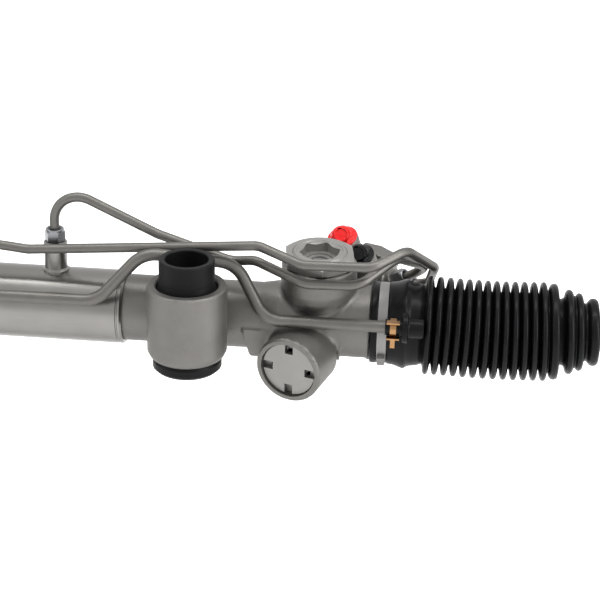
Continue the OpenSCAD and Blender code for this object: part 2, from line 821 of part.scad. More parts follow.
module guide_cap() {
  rim = cap_top - 1.2;
  color(cast) gear_frame() difference() {
    turned([
      [0, 36.4], [17.2, 36.4], [18.1, 37.4], [18.1, rim], [17, cap_top], [15.6, cap_top],
      [15.2, cap_top - 0.5], [0, cap_top - 0.5]
    ]);
    translate([0, 0, cap_top - socket_depth]) rotate(socket_turn) linear_extrude(10) hexagon(socket_af);
    translate([0, 0, cap_top - 1.5]) cylinder(r1 = 12, r2 = 13.6, h = 1.6);
    translate([0, 0, cap_top - socket_depth - 0.8]) cylinder(r = 9, h = 3);
    translate([0, 0, cap_top - socket_depth - 2]) cylinder(r = 6.2, h = 3);
    translate([0, 0, 35]) cylinder(r = 11, h = 5.5);
  }
}

module guide_lock_nut() {
  color(cast) gear_frame() translate([0, 0, tower_h]) rotate(lock_nut_turn)
    hex_body(lock_nut_af, lock_nut_t, thread_r);
}

// Pipes

module pressure_pipe_a() {
  color(steel) bent_tube(pipe_a_route, 15, pipe_d / 2, pipe_d / 2 - 0.9);
}

module pressure_pipe_b() {
  color(steel) bent_tube(pipe_b_route, 17.5, pipe_d / 2, pipe_d / 2 - 0.9);
}

module breather_pipe() {
  color(steel) bent_tube(breather_route, 20, breather_d / 2, breather_d / 2 - 1);
}

module flare_nut() {
  difference() {
    union() {
      hex_body(nut_af, nut_h, 2);
      translate([0, 0, nut_h - 0.5]) cylinder(r = 6.1, h = nut_collar_h - 0.5);
      translate([0, 0, nut_h + nut_collar_h - 1]) cylinder(r1 = 6.1, r2 = 5.7, h = 0.5);
    }
    translate([0, 0, -1]) cylinder(r = pipe_d / 2, h = 20);
    translate([0, 0, nut_h - 1.5]) cylinder(r1 = pipe_d / 2, r2 = 4.7, h = nut_collar_h + 1);
  }
}

module flare_nuts() {
  color(zinc) {
    for (x = [near_port_x, far_port_x]) translate([x, rack_y, port_z]) flare_nut();
    for (port = [port_a, port_b]) pipe_port_place(port) translate([0, 0, port[2]]) flare_nut();
  }
}

// Gaiters. Each list holds [place along X, crest radius, half width of the crest]

crest_pitch = 6.37;
even_crests = [for (i = [0 : 12]) [155.7 + i * crest_pitch, 33.1, 2.1]];
boot_valley_r = 25.5;
boot_wall = 1.4;
thick_crest = [239, 32, 3];
end_crests = [[249, 28.3, 2.6], [255.6, 26, 2.4], [264.8, 22.6, 3.4]];
end_valleys = [22, 24, 19.2, 11.8];

function crest_outside(c, left_r, right_r) = [
  [left_r, c[0] - c[2] - 0.7], [c[1] - 2, c[0] - c[2]], [c[1] - 0.5, c[0] - c[2] * 0.6],
  [c[1], c[0]], [c[1] - 0.5, c[0] + c[2] * 0.6], [c[1] - 2, c[0] + c[2]], [right_r, c[0] + c[2] + 0.7]
];
function crest_inside(c, left_r, right_r) = [
  [left_r - boot_wall, c[0] - c[2] * 0.55], [c[1] - 2.4, c[0] - c[2] * 0.35],
  [c[1] - boot_wall, c[0]], [c[1] - 2.4, c[0] + c[2] * 0.35], [right_r - boot_wall, c[0] + c[2] * 0.55]
];
function reversed(list) = [for (i = [len(list) - 1 : -1 : 0]) list[i]];

cuff_outside = [
  [27.4, boot_start_x], [27.4, 122.4], [26.5, 122.5], [26.5, 129], [27.6, 129.6], [27.8, 133],
  [28.6, 136], [30, 139.4], [30, 141.2], [28, 143.5], [27.5, 150]
];
cuff_inside = [
  [boot_seat_r, boot_start_x], [boot_seat_r, housing_right_x + 1], [26, 137], [27.8, 139.5],
  [27.8, 141], [26.2, 143.5], [26, 150]
];

module boot_body() {
  // Cuff and even crests, straight along the rack
  along_rack() turned(concat(
    cuff_outside,
    [for (c = even_crests) each crest_outside(c, boot_valley_r, boot_valley_r)],
    [[31, 236.2], [32, 238.2], [32, 239.8], [31, 241.8], [22.6, 242], [19.6, 242], [19.6, 236.6], [24.1, 236.2]],
    reversed(concat(cuff_inside, [for (c = even_crests) each crest_inside(c, boot_valley_r, boot_valley_r)]))
  ));
  // Small crests and end cuff, in line with the tie rod
  tie_rod_frame() translate([0, 0, -ball_right_x]) turned(concat(
    [[22, 238.5]],
    [for (i = [0 : 2]) each crest_outside(end_crests[i], end_valleys[i], end_valleys[i + 1])],
    [[11.8, 274], [11, 275], [11, 281], [11.8, 282], [11.8, 284], [tie_rod_d / 2 + 0.05, 284],
     [tie_rod_d / 2 + 0.05, 270]],
    reversed([for (i = [0 : 2]) each crest_inside(end_crests[i], end_valleys[i], i < 2 ? end_valleys[i + 1] : 14)]),
    [[20.6, 238.5]]
  ));
}

// Nipple for the breather pipe, moulded on the front of the cuff
module nipple_form() {
  translate([0, breather_y, breather_end_z]) rotate([0, 90, 0]) turned([
    [0, breather_end_x + 0.5], [4.2, breather_end_x + 0.5], [4.2, nipple_x], [9.5, nipple_x],
    [10, nipple_x + 0.8], [10, nipple_x + 3.2], [9.5, nipple_x + 4], [6.4, nipple_x + 4],
    [6.4, nipple_x + 13.4], [5.8, nipple_x + 14], [0, nipple_x + 14]
  ]);
}

module boot_form() {
  difference() {
    union() {
      difference() {
        boot_body();
        translate([nipple_x - 12, breather_y, breather_end_z]) rotate([0, 90, 0]) cylinder(r = 5.35, h = 12);
      }
      difference() {
        nipple_form();
        along_rack(nipple_x - 10) cylinder(r = 26.8, h = 30);
      }
    }
    translate([nipple_x - 8, breather_y, breather_end_z]) rotate([0, 90, 0]) cylinder(r = 2.5, h = 18);
    translate([nipple_x + 7.5, breather_y, breather_end_z]) rotate([-90, 0, 0]) cylinder(r = 2.5, h = 12);
  }
}

module boot_right() {
  color(rubber) boot_form();
}

module boot_left() {
  color(rubber) other_side() boot_form();
}

// Large clamp with its crimped ear below the front
module boot_band() {
  along_rack(122.7) {
    ring(27.2, 26.52, 6.2);
    rotate([0, 0, -52]) translate([27, -5, 0.6]) cube([2.6, 10, 5]);
  }
}

module boot_bands() {
  color(steel) {
    boot_band();
    other_side() boot_band();
  }
}

module boot_clip() {
  tie_rod_frame() translate([0, 0, 51.4]) {
    ring(12.4, 11.05, 5.2);
    rotate([0, 0, 60]) translate([12, -1.6, 0.8]) cube([5, 1.2, 3.6]);
    rotate([0, 0, 60]) translate([12, 0.6, 0.8]) cube([5, 1.2, 3.6]);
  }
}

module boot_clip_right() {
  color(zinc) boot_clip();
}

module boot_clip_left() {
  color(zinc) other_side() boot_clip();
}

// Breather joints

module breather_sleeve() {
  translate([breather_end_x - 6, breather_y, breather_end_z]) rotate([0, 90, 0]) difference() {
    cylinder(r = 5.3, h = nipple_x - breather_end_x + 6);
    cylinder(r = breather_d / 2 + 0.25, h = 30);
    translate([0, 0, -1]) cylinder(r = breather_d / 2 + 0.02, h = 8);
  }
}

module breather_sleeves() {
  color(rubber) {
    breather_sleeve();
    other_side() breather_sleeve();
  }
}

// Open spring clip: a band with two cross bars and a tail, in front of the sleeve
module breather_clip() {
  translate([breather_end_x - 0.8, breather_y, breather_end_z]) rotate([0, 90, 0]) difference() {
    union() {
      ring(6, 5.32, 4, -2);
      translate([-5.6, -6.4, -4.2]) cube([1, 4.6, 8.4]);
      translate([5.4, -6.4, -4.2]) cube([1, 4.6, 8.4]);
      translate([6, -6.4, -1.5]) cube([6, 0.8, 3]);
    }
    translate([-20, 1.5, -10]) cube([40, 20, 20]);
    translate([0, 0, -10]) cylinder(r = 5.31, h = 20);
  }
}

module breather_clips() {
  color(brass) {
    breather_clip();
    other_side() breather_clip();
  }
}

// Inner ball joints and tie rods

seat_r = 16;
mouth_front = 12;

module socket_form() {
  along_rack(ball_right_x) difference() {
    union() {
      turned([
        [0, -socket_rear], [16, -socket_rear], [19, -socket_rear + 3], [19, 5], [17.8, mouth_front - 1],
        [17.4, mouth_front], [0, mouth_front]
      ]);
      turned([[0, -socket_rear - washer_t - 22], [7.2, -socket_rear - washer_t - 22], [8, -socket_rear - washer_t - 20], [8, -socket_rear + 1], [0, -socket_rear + 1]]);
    }
    sphere(r = seat_r + run_gap);
    turned([[0, 8], [12.4, 8], [15.2, mouth_front + 1], [0, mouth_front + 1]]);
    for (side = [-1, 1]) translate([side * 23.5, 0, -14]) cube([12, 60, 14], center = true);
  }
}

module socket_right() {
  color(dark_steel) socket_form();
}

module socket_left() {
  color(dark_steel) other_side() socket_form();
}

module lock_washer_form() {
  along_rack(rack_right_x) difference() {
    ring(15.5, 8.02, washer_t);
    for (side = [-1, 1]) translate([0, side * 17, 0]) cube([8, 8, 8], center = true);
  }
}

module lock_washer_right() {
  color(zinc) lock_washer_form();
}

module lock_washer_left() {
  color(zinc) other_side() lock_washer_form();
}

// Plastic seat between ball and socket: a band of a hollow sphere
module ball_seat_form() {
  along_rack(ball_right_x) difference() {
    sphere(r = seat_r);
    sphere(r = ball_d / 2 + run_gap);
    translate([0, 0, 9.2]) cylinder(r = 20, h = 12);
    translate([0, 0, -24]) cylinder(r = 20, h = 12);
  }
}

module ball_seat_right() {
  color(plastic) ball_seat_form();
}

module ball_seat_left() {
  color(plastic) other_side() ball_seat_form();
}

module tie_rod_form() {
  rod_r = tie_rod_d / 2;
  rod_thread_r = thread_d / 2;
  thread_l = 42;
  tie_rod_frame() {
    sphere(d = ball_d);
    difference() {
      turned([
        [0, 0], [7, 0], [7, 22], [rod_r, 40], [rod_r, tie_rod_l - thread_l - 15],
        [rod_thread_r + 0.3, tie_rod_l - thread_l - 15], [rod_thread_r + 0.3, tie_rod_l - thread_l],
        [rod_thread_r, tie_rod_l - thread_l], [rod_thread_r, tie_rod_l - 1.5],
        [rod_thread_r - 1.5, tie_rod_l], [0, tie_rod_l]
      ]);
      for (side = [-1, 1]) translate([0, side * (rod_r + 2.7), tie_rod_l - thread_l - 30])
        cube([20, 8, 14], center = true);
    }
  }
}

module tie_rod_right() {
  color(dark_steel) tie_rod_form();
}

module tie_rod_left() {
  color(dark_steel) other_side() tie_rod_form();
}

module jam_nut_form() {
  tie_rod_frame() translate([0, 0, tie_rod_l - 52]) hex_body(24, 9, thread_d / 2 + 0.32);
}

module jam_nut_right() {
  color(zinc) jam_nut_form();
}

module jam_nut_left() {
  color(zinc) other_side() jam_nut_form();
}

// Shipping plugs in the two hose ports

dome_r = 9.05;
face_turn = [30.5, 20, 0];

module port_plug(stem_r) {
  translate([0, 0, plug_reach - 10]) cylinder(r = stem_r - 0.02, h = 10);
  translate([0, 0, plug_reach]) cylinder(r = 11, h = 2);
  translate([0, 0, plug_reach + 1]) {
    rotate_extrude() intersection() {
      circle(dome_r);
      square(dome_r);
    }
    difference() {
      rotate(face_turn) {
        cylinder(r = 7.4, h = 5.8);
        cylinder(r = 4.7, h = 8.4);
      }
      translate([0, 0, -10]) cylinder(r = 20, h = 10);
    }
  }
}

module pressure_plug() {
  color([0.85, 0.1, 0.1]) plug_port_place(pressure_port) port_plug(6);
}

module return_plug() {
  color(rubber) plug_port_place(return_port) port_plug(7);
}

// Saddle mount on the cylinder tube

saddle_r = tube_r + 5.5;
strap_t = 3;
foot_drop = 22;

module saddle_grommet() {
  color(rubber) difference() {
    along_rack(saddle_x - saddle_w / 2) turned([
      [tube_r, -2], [saddle_r + 2.5, -2], [saddle_r + 2.5, 0], [saddle_r, 0.5], [saddle_r, saddle_w - 0.5],
      [saddle_r + 2.5, saddle_w], [saddle_r + 2.5, saddle_w + 2], [tube_r, saddle_w + 2]
    ]);
    translate([saddle_x - saddle_w, rack_y - 40, rack_z - 80]) cube([2 * saddle_w, 80, 80 - foot_drop]);
  }
}

// Side view of the strap: arch over the tube, two legs and two feet
module strap_outline() {
  outer = saddle_r + strap_t;
  foot_end = saddle_pitch / 2 + 12;
  difference() {
    union() {
      circle(outer);
      translate([-outer, -foot_drop]) square([2 * outer, foot_drop]);
      translate([-foot_end, -foot_drop]) square([2 * foot_end, strap_t + 1]);
    }
    circle(saddle_r);
    translate([-saddle_r, -foot_drop - 50]) square([2 * saddle_r, 50 + foot_drop]);
    translate([-outer - 1, -foot_drop - 50]) square([2 * outer + 2, 50]);
  }
}

module saddle_bracket() {
  foot_r = 12;
  color(dark_steel) translate([saddle_x, rack_y, rack_z]) difference() {
    rotate([90, 0, 90]) translate([0, 0, -saddle_w / 2 + 1]) linear_extrude(saddle_w - 2) strap_outline();
    for (side = [-1, 1]) translate([0, side * saddle_pitch / 2, -foot_drop - 1])
      cylinder(d = saddle_hole_d, h = 10);
  }
}

gear_housing();
cylinder_tube();
cylinder_ports();
end_stopper();
end_seal();
inner_bulkhead();
inner_seal();
rack_bar();
piston();
piston_ring();
piston_clips();
bush_rubber();
bush_sleeve();
pinion_shaft();
pinion_nut();
pinion_cap();
lower_bearing_outer();
lower_bearing_inner();
upper_bearing();
valve_housing();
valve_bolts();
valve_sleeve();
valve_sleeve_rings();
input_shaft();
torsion_bar();
pinion_seal();
input_seal();
input_snap_ring();
dust_cover();
rack_guide();
guide_liner();
guide_spring();
guide_o_ring();
guide_cap();
guide_lock_nut();
pressure_pipe_a();
pressure_pipe_b();
flare_nuts();
breather_pipe();
breather_sleeves();
breather_clips();
boot_right();
boot_left();
boot_bands();
boot_clip_right();
boot_clip_left();
socket_right();
socket_left();
lock_washer_right();
lock_washer_left();
ball_seat_right();
ball_seat_left();
tie_rod_right();
tie_rod_left();
jam_nut_right();
jam_nut_left();
pressure_plug();
return_plug();
saddle_grommet();
saddle_bracket();
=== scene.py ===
"""Looks of a hydraulic steering rack: castings, steel tube, pipes, gaiters and fittings.

Lengths that are named here are in millimetres, in the frame of the CAD part: the origin is
the centre of the bush bore, +X runs along the rack, +Y backwards and +Z up. Meshes are in metres.
"""
import math

import bpy
import numpy as np
from mathutils import Matrix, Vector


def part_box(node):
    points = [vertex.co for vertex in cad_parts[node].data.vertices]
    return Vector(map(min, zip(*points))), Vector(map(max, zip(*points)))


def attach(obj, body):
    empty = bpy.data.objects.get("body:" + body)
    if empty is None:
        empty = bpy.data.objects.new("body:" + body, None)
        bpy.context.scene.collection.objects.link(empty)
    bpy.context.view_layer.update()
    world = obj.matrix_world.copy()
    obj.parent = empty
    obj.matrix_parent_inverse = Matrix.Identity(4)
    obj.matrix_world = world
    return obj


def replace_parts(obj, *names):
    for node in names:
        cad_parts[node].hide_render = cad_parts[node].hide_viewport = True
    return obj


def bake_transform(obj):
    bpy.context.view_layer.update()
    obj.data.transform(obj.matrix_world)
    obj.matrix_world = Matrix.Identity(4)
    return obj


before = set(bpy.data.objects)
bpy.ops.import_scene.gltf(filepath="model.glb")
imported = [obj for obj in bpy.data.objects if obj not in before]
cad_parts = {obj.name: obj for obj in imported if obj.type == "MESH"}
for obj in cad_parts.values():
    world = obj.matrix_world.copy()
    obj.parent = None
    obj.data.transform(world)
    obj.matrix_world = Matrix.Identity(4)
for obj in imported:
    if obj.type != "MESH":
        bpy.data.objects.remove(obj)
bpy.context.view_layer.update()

MM = 0.001

# Rack, cylinder and gear housing
RACK_Y = 44.0
RACK_Z = -13.5
GEAR_X = 82.0
GUIDE_LEAN = 4.0
PINION_ANGLE = 19.0
PINION_DROP = 15.0
MIRROR_X = -109.0
BALL_X = 224.0
TIE_ROD_RISE = 3.0
BOOT_START = 117.8
FLANGE_TURNS = (112, 222, 330)
FLANGE_DISC_R = 27.0
FLANGE_EDGE = 0.8
FLANGE_EAR_R = 8.0
EAR_FILLET = 4.0
FLANGE_BOLT_R = 32.0
FLANGE_THREAD_R = 4.0
FLANGE_HOLE_R = 4.3
FLANGE_Z = -34.0
FLANGE_T = 8.0
FLANGE_HOLE_ENDS = (-44.0, -25.0)
BREATHER_Y = 12.0
BREATHER_Z = -1.8
NIPPLE_X = 139.0

# Ports of the valve housing
PIPE_PORTS = ((-84, 16, 30.5), (-64, 34, 37.5))
PIPE_PORT_R = 2.5
PRESSURE_PORT = (-8.4, 4.6, -86)
PRESSURE_R = 6
RETURN_PORT = (14.2, 5.7, -62)
RETURN_R = 7

# Shipping plugs
PLUG_REACH = 38.0
PLUG_GAP = 0.02
PLUG_FLANGE_R = 10.9
PLUG_DOME_R = 8.6
SCALLOPS = 8
SCALLOP = 0.42
BUTTON_R = 5.0
BUTTON_REACH = 9.2

# Photograph's camera
LENS = 93.77
CAMERA_TARGET = (69.4, 44.0, -0.86)
CAMERA_DISTANCE = 1047.4
CAMERA_AZIMUTH = 4.728
CAMERA_ELEVATION = 24.163
CAMERA_ROLL = 1.541


# Frames of the part, as 4 x 4 matrices in millimetres

def shift(x, y, z):
    """Matrix that moves by x, y, z."""
    matrix = np.eye(4)
    matrix[:3, 3] = (x, y, z)
    return matrix


def turn(axis, degrees):
    """Matrix that turns by the right-hand rule about the x, y or z axis."""
    about = "xyz".index(axis)
    first = (about + 1) % 3
    second = (about + 2) % 3
    cosine = math.cos(math.radians(degrees))
    sine = math.sin(math.radians(degrees))
    matrix = np.eye(4)
    matrix[first, first] = cosine
    matrix[second, second] = cosine
    matrix[second, first] = sine
    matrix[first, second] = -sine
    return matrix


GEAR_FRAME = shift(GEAR_X, RACK_Y, RACK_Z) @ turn("x", GUIDE_LEAN)
PINION_FRAME = GEAR_FRAME @ shift(0, 0, -PINION_DROP) @ turn("z", -PINION_ANGLE) @ turn("x", 90)
RACK_FRAME = shift(0, RACK_Y, RACK_Z) @ turn("y", 90)
PLUG_TILT = turn("z", 9) @ turn("x", -70)
FACE_TURN = turn("y", 20) @ turn("x", 30.5)


def seen_from(place, points):
    """Points of the part as coordinates in a frame of the part."""
    back = np.linalg.inv(place)
    return points @ back[:3, :3].T + back[:3, 3]


# Distance functions, negative inside a shape: p holds points of the part, q points in a local frame

def outline_distance(corners, u, v):
    """Distance to a closed outline: to its nearest edge, negative where a ray to +u crosses it an odd
    number of times. Edges on the line u = 0 are left out, so the axis of a turned shape is inside."""
    nearest = np.full(u.shape, np.inf)
    inside = np.zeros(u.shape, bool)
    for start, end in zip(corners, corners[1:] + corners[:1]):
        edge_u = end[0] - start[0]
        edge_v = end[1] - start[1]
        if start[0] == 0 and end[0] == 0:
            continue
        from_u = u - start[0]
        from_v = v - start[1]
        along = np.clip((from_u * edge_u + from_v * edge_v) / (edge_u ** 2 + edge_v ** 2), 0, 1)
        nearest = np.minimum(nearest, (from_u - along * edge_u) ** 2 + (from_v - along * edge_v) ** 2)
        if edge_v:
            inside ^= ((start[1] > v) != (end[1] > v)) & (from_u < from_v * edge_u / edge_v)
    return np.where(inside, -1, 1) * np.sqrt(nearest)


def turned(corners, q):
    """Distance to an outline of (radius, height) turned about the local z axis."""
    return outline_distance(corners, np.hypot(q[:, 0], q[:, 1]), q[:, 2])


def between(value, low, high):
    """Distance to a flat slab between two heights."""
    return np.maximum(low - value, value - high)


def weld(a, b, fillet):
    """Union of two shapes with a round fillet along the corner where they meet."""
    corner = np.hypot(np.maximum(fillet - a, 0), np.maximum(fillet - b, 0))
    return np.maximum(fillet, np.minimum(a, b)) - corner


def meet(a, b, rounding):
    """What two shapes share, with its new edge rounded."""
    edge = np.hypot(np.maximum(rounding + a, 0), np.maximum(rounding + b, 0))
    return np.minimum(-rounding, np.maximum(a, b)) + edge


def cut(a, b):
    """Shape a without shape b."""
    return np.maximum(a, -b)


def rod(q, x, y, radius, low, high):
    """Upright cylinder at x, y between two heights."""
    return np.maximum(np.hypot(q[:, 0] - x, q[:, 1] - y) - radius, between(q[:, 2], low, high))


def polar(radius, degrees):
    """Point at a radius and an angle."""
    return radius * math.cos(math.radians(degrees)), radius * math.sin(math.radians(degrees))


# Meshes

def mesh_object(name, points, faces, materials, smooth_angle=32.0):
    """Object from points in metres and faces, shaded smooth up to an angle between faces."""
    if isinstance(faces, list):
        sizes = np.array([len(f) for f in faces])
        loops = np.concatenate([np.asarray(f) for f in faces])
    else:
        sizes = np.full(len(faces), faces.shape[1])
        loops = faces.ravel()
    mesh = bpy.data.meshes.new(name)
    mesh.vertices.add(len(points))
    mesh.vertices.foreach_set("co", np.asarray(points, np.float32).ravel())
    mesh.loops.add(len(loops))
    mesh.loops.foreach_set("vertex_index", loops.astype(np.int32))
    mesh.polygons.add(len(sizes))
    starts = np.concatenate([[0], np.cumsum(sizes)[:-1]])
    mesh.polygons.foreach_set("loop_start", starts.astype(np.int32))
    mesh.polygons.foreach_set("use_smooth", np.ones(len(sizes), bool))
    mesh.update(calc_edges=True)
    mesh.validate()
    mesh.set_sharp_from_angle(angle=math.radians(smooth_angle))
    for material in materials:
        mesh.materials.append(material)
    piece = bpy.data.objects.new(name, mesh)
    bpy.context.collection.objects.link(piece)
    return piece


def slopes(shape, points, reach=0.02):
    """Unit gradient of a distance function, from differences over a short reach each way."""
    parts = []
    for axis in np.eye(3) * reach:
        parts.append(shape(points + axis) - shape(points - axis))
    gradient = np.stack(parts, axis=1)
    return gradient / np.maximum(np.linalg.norm(gradient, axis=1, keepdims=True), 1e-9)


UNIT_STEPS = np.eye(3, dtype=int)
MIDDLE_PULL = 0.05
BOX_MARGIN = 1.7


def contour(shape, low, high, step):
    """Closed quad mesh of the zero level of a distance function, by dual contouring.

    The function is read at the corners of a grid. Each grid edge whose ends lie on two sides gives a
    crossing point and the surface's slope there. Each cell gets one vertex, the point nearest to all
    its tangent planes with a weak pull to their middle, so that sharp edges stay sharp. Each crossed
    edge joins its four cells."""
    counts = np.ceil((high - low) / step).astype(int) + 1
    axes = [low[i] + step * np.arange(counts[i]) for i in range(3)]
    grid = np.stack(np.meshgrid(*axes, indexing="ij"), axis=-1).reshape(-1, 3)
    value = shape(grid).reshape(counts)
    strides = np.array([counts[1] * counts[2], counts[2], 1])
    crossings = []
    quads = []
    for axis in range(3):
        first = [slice(1, -1)] * 3
        second = list(first)
        first[axis] = slice(0, -1)
        second[axis] = slice(1, None)
        near = value[tuple(first)]
        far = value[tuple(second)]
        spots = np.argwhere((near < 0) != (far < 0))
        d0 = near[tuple(spots.T)]
        d1 = far[tuple(spots.T)]
        start = spots + np.array([s.start for s in first])
        point = low + step * start
        point[:, axis] += step * d0 / (d0 - d1)
        step_one = UNIT_STEPS[(axis + 1) % 3]
        step_two = UNIT_STEPS[(axis + 2) % 3]
        around = [start - step_one - step_two, start - step_two, start, start - step_one]
        ring = np.stack(around, axis=1) @ strides
        ring[d0 >= 0] = ring[d0 >= 0][:, ::-1]
        crossings.append(point)
        quads.append(ring)
    points = np.concatenate(crossings)
    quads = np.concatenate(quads)
    normals = slopes(shape, points)
    cells, index = np.unique(quads, return_inverse=True)
    index = index.reshape(quads.shape)
    owner = index.ravel()
    normal = np.repeat(normals, 4, axis=0)
    point = np.repeat(points, 4, axis=0)
    share = np.bincount(owner)[:, None]
    middle = np.stack([np.bincount(owner, point[:, i]) for i in range(3)], axis=1) / share
    offset = ((point - middle[owner]) * normal).sum(axis=1)
    matrix = np.empty((len(cells), 3, 3))
    right = np.empty((len(cells), 3))
    for i in range(3):
        right[:, i] = np.bincount(owner, normal[:, i] * offset)
        for j in range(3):
            matrix[:, i, j] = np.bincount(owner, normal[:, i] * normal[:, j])
    matrix += np.eye(3) * MIDDLE_PULL
    moved = np.linalg.solve(matrix, right[:, :, None])[:, :, 0]
    corner = np.stack(np.unravel_index(cells, counts), axis=1) * step + low
    spot = np.clip(middle + moved, corner, corner + step)
    return spot, index


def casting(name, node, shape, step, materials):
    """Contoured piece that stands for a CAD node and rides on the housing."""
    low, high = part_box(node)
    margin = BOX_MARGIN * step
    spots, faces = contour(shape, np.array(low) / MM - margin, np.array(high) / MM + margin, step)
    piece = mesh_object(name, spots * MM, faces, materials)
    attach(piece, "housing")
    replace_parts(piece, node)


def soft_outline(corners, steps):
    """Open outline whose corners are rounded from the middle of one edge to the middle of the next, each
    by the curve that is quadratic in t: (1-t)^2 a + 2t(1-t) corner + t^2 b."""
    c = np.array(corners, float)
    before = (c[:-2] + c[1:-1]) / 2
    after = (c[1:-1] + c[2:]) / 2
    t = (np.arange(steps) / steps)[None, :, None]
    curve = (1 - t) ** 2 * before[:, None] + 2 * t * (1 - t) * c[1:-1][:, None] + t ** 2 * after[:, None]
    return np.concatenate([c[:1], curve.reshape(-1, c.shape[1]), after[-1:], c[-1:]])


def tube_grid(rows, columns, row_closed):
    """Quads of a grid of rows by columns whose columns wrap round, and whose rows do if row_closed."""
    i = np.arange(rows if row_closed else rows - 1)
    j = np.arange(columns)
    i, j = np.meshgrid(i, j, indexing="ij")
    k = (i + 1) % rows
    m = (j + 1) % columns
    quads = np.stack([i * columns + j, i * columns + m, k * columns + m, k * columns + j], axis=-1)
    return quads.reshape(-1, 4)


def turned_points(outline, sides):
    """Rings of an outline of (radius, height) turned about z: (r cos a, r sin a, h)."""
    a = np.arange(sides) * 2 * math.pi / sides
    r = outline[:, 0][:, None]
    h = np.broadcast_to(outline[:, 1][:, None], (len(outline), sides))
    return np.stack([r * np.cos(a), r * np.sin(a), h], axis=-1).reshape(-1, 3)


def placed(matrix, points):
    """Points moved by a 4 x 4 matrix in millimetres, in metres."""
    return (points @ matrix[:3, :3].T + matrix[:3, 3]) * MM


# Castings, as distance functions

BARREL = [(0, -66), (21.98, -66), (21.98, -48), (22.5, -48), (22.5, 44), (24.5, 56), (24.5, 116.8),
          (23.9, 117.8), (23.5, 117.8), (23.5, 130), (21.5, 132), (0, 132)]
EYE = [(0, -25), (22, -25), (24.4, -23.4), (26, -20), (26, 24), (25, 25), (0, 25)]
EYE_BORE = [(0, -30), (20, -30), (20, 24), (21.4, 25.4), (22.8, 27), (0, 27)]
WEB = [(8, 21), (22, 20), (44, 6), (44, -33), (22, -25.5), (8, -22.5)]
TOWER = [(0, 4), (12, 5), (17.8, 8.4), (21.3, 12.4), (23.6, 16.6), (25, 21.4), (25.6, 27), (25, 34),
         (25, 41), (24, 42), (0, 42)]
GUIDE_BORE = [(0, 0), (17.1, 0), (17.1, 31), (18.2, 31), (18.2, 50), (0, 50)]
CASE = [(0, -26), (22.5, -26), (22.5, -18), (18, -12), (18, 12), (20, 15), (22.75, 20), (22.75, 47.6),
        (21.5, 49), (0, 49)]
CASE_BORE = [(0, -36), (17.5, -36), (17.5, -21), (11.5, -21), (11.5, 22), (17.5, 22), (17.5, 33),
             (19, 33), (19, 60), (0, 60)]
LOBE = [(-18, -18.8), (-42.2, -18.8), (-43.6, -18.1), (-44.3, -16.6), (-48.2, -2), (-48.2, 1), (-18, 1)]
RIB = [(17.2, -1), (18.8, -1), (16.2, -18), (14.6, -18)]
LOBE_REACH = 23.5
LOBE_FILLET = 1.5
LOBE_EDGE = 0.6
RIB_FILLET = 0.5
WEB_HALF = 19.0
WEB_EDGE = 4.0
WEB_FILLET = 3.0
EYE_FILLET = 2.0
TOWER_FILLET = 2.5
CASE_FILLET = 3.0
FLANGE_FILLET = 2.0
RACK_BORE_R = 15.0
SPIGOT_R = 23.5
BOOT_ROOM_R = 28.0
VALVE_FACE = -102.9
VALVE_CASE = [(0, VALVE_FACE), (19, VALVE_FACE), (20.8, -101), (20.8, -92), (24, -89), (24, -42),
              (25.5, -38), (0, -38)]
VALVE_BORE = [(0, -90), (20, -90), (20, -30), (0, -30)]
INPUT_BORE = [(0, -110), (14, -110), (14, -102.2), (15, -102.2), (15, -100.8), (14, -100.8), (14, -84),
              (0, -84)]
VALVE_PAD = [(-8, 0), (-8, 26), (-6, 28), (6, 28), (17, 24.5), (18.6, 22), (18.6, 0)]
PAD_LOW = -98.0
PAD_HIGH = -84.0
PAD_EDGE = 1.2
PAD_FILLET = 2.5
HOSE_BOSS = [(0, 0), (11.2, 0), (11.2, 37.2), (10.4, 38), (0, 38)]
HOSE_FILLET = 3.0
PIPE_BOSS_R = 9.0
PIPE_FILLET = 2.5
BOSS_EDGE = 0.8
PORT_BOTTOM = 15.0
PORT_TOP = 45.0

# Spacing of the grids that the castings and plugs are contoured on
GEAR_STEP = 1.12
VALVE_STEP = 0.9
PLUG_STEP = 0.4


def flange_plate(q, low, high):
    """Plate of the valve flange: a disc with three ears, each the strip round a line from the centre."""
    plate = np.hypot(q[:, 0], q[:, 1]) - FLANGE_DISC_R
    for angle in FLANGE_TURNS:
        x, y = polar(1, angle)
        along = np.clip(q[:, 0] * x + q[:, 1] * y, 0, FLANGE_BOLT_R)
        ear = np.hypot(q[:, 0] - along * x, q[:, 1] - along * y) - FLANGE_EAR_R
        plate = weld(plate, ear, EAR_FILLET)
    return meet(plate, between(q[:, 2], low, high), FLANGE_EDGE)


def flange_holes(shape, q, radius):
    """Shape with the three bolt holes of the flange."""
    for angle in FLANGE_TURNS:
        x, y = polar(FLANGE_BOLT_R, angle)
        shape = cut(shape, rod(q, x, y, radius, *FLANGE_HOLE_ENDS))
    return shape


def room_for_boot(rack):
    """Hollow that the gaiter's cuff sits in, behind the shoulder of the barrel."""
    return np.maximum(BOOT_START - 0.3 - rack[:, 2], np.hypot(rack[:, 0], rack[:, 1]) - BOOT_ROOM_R)


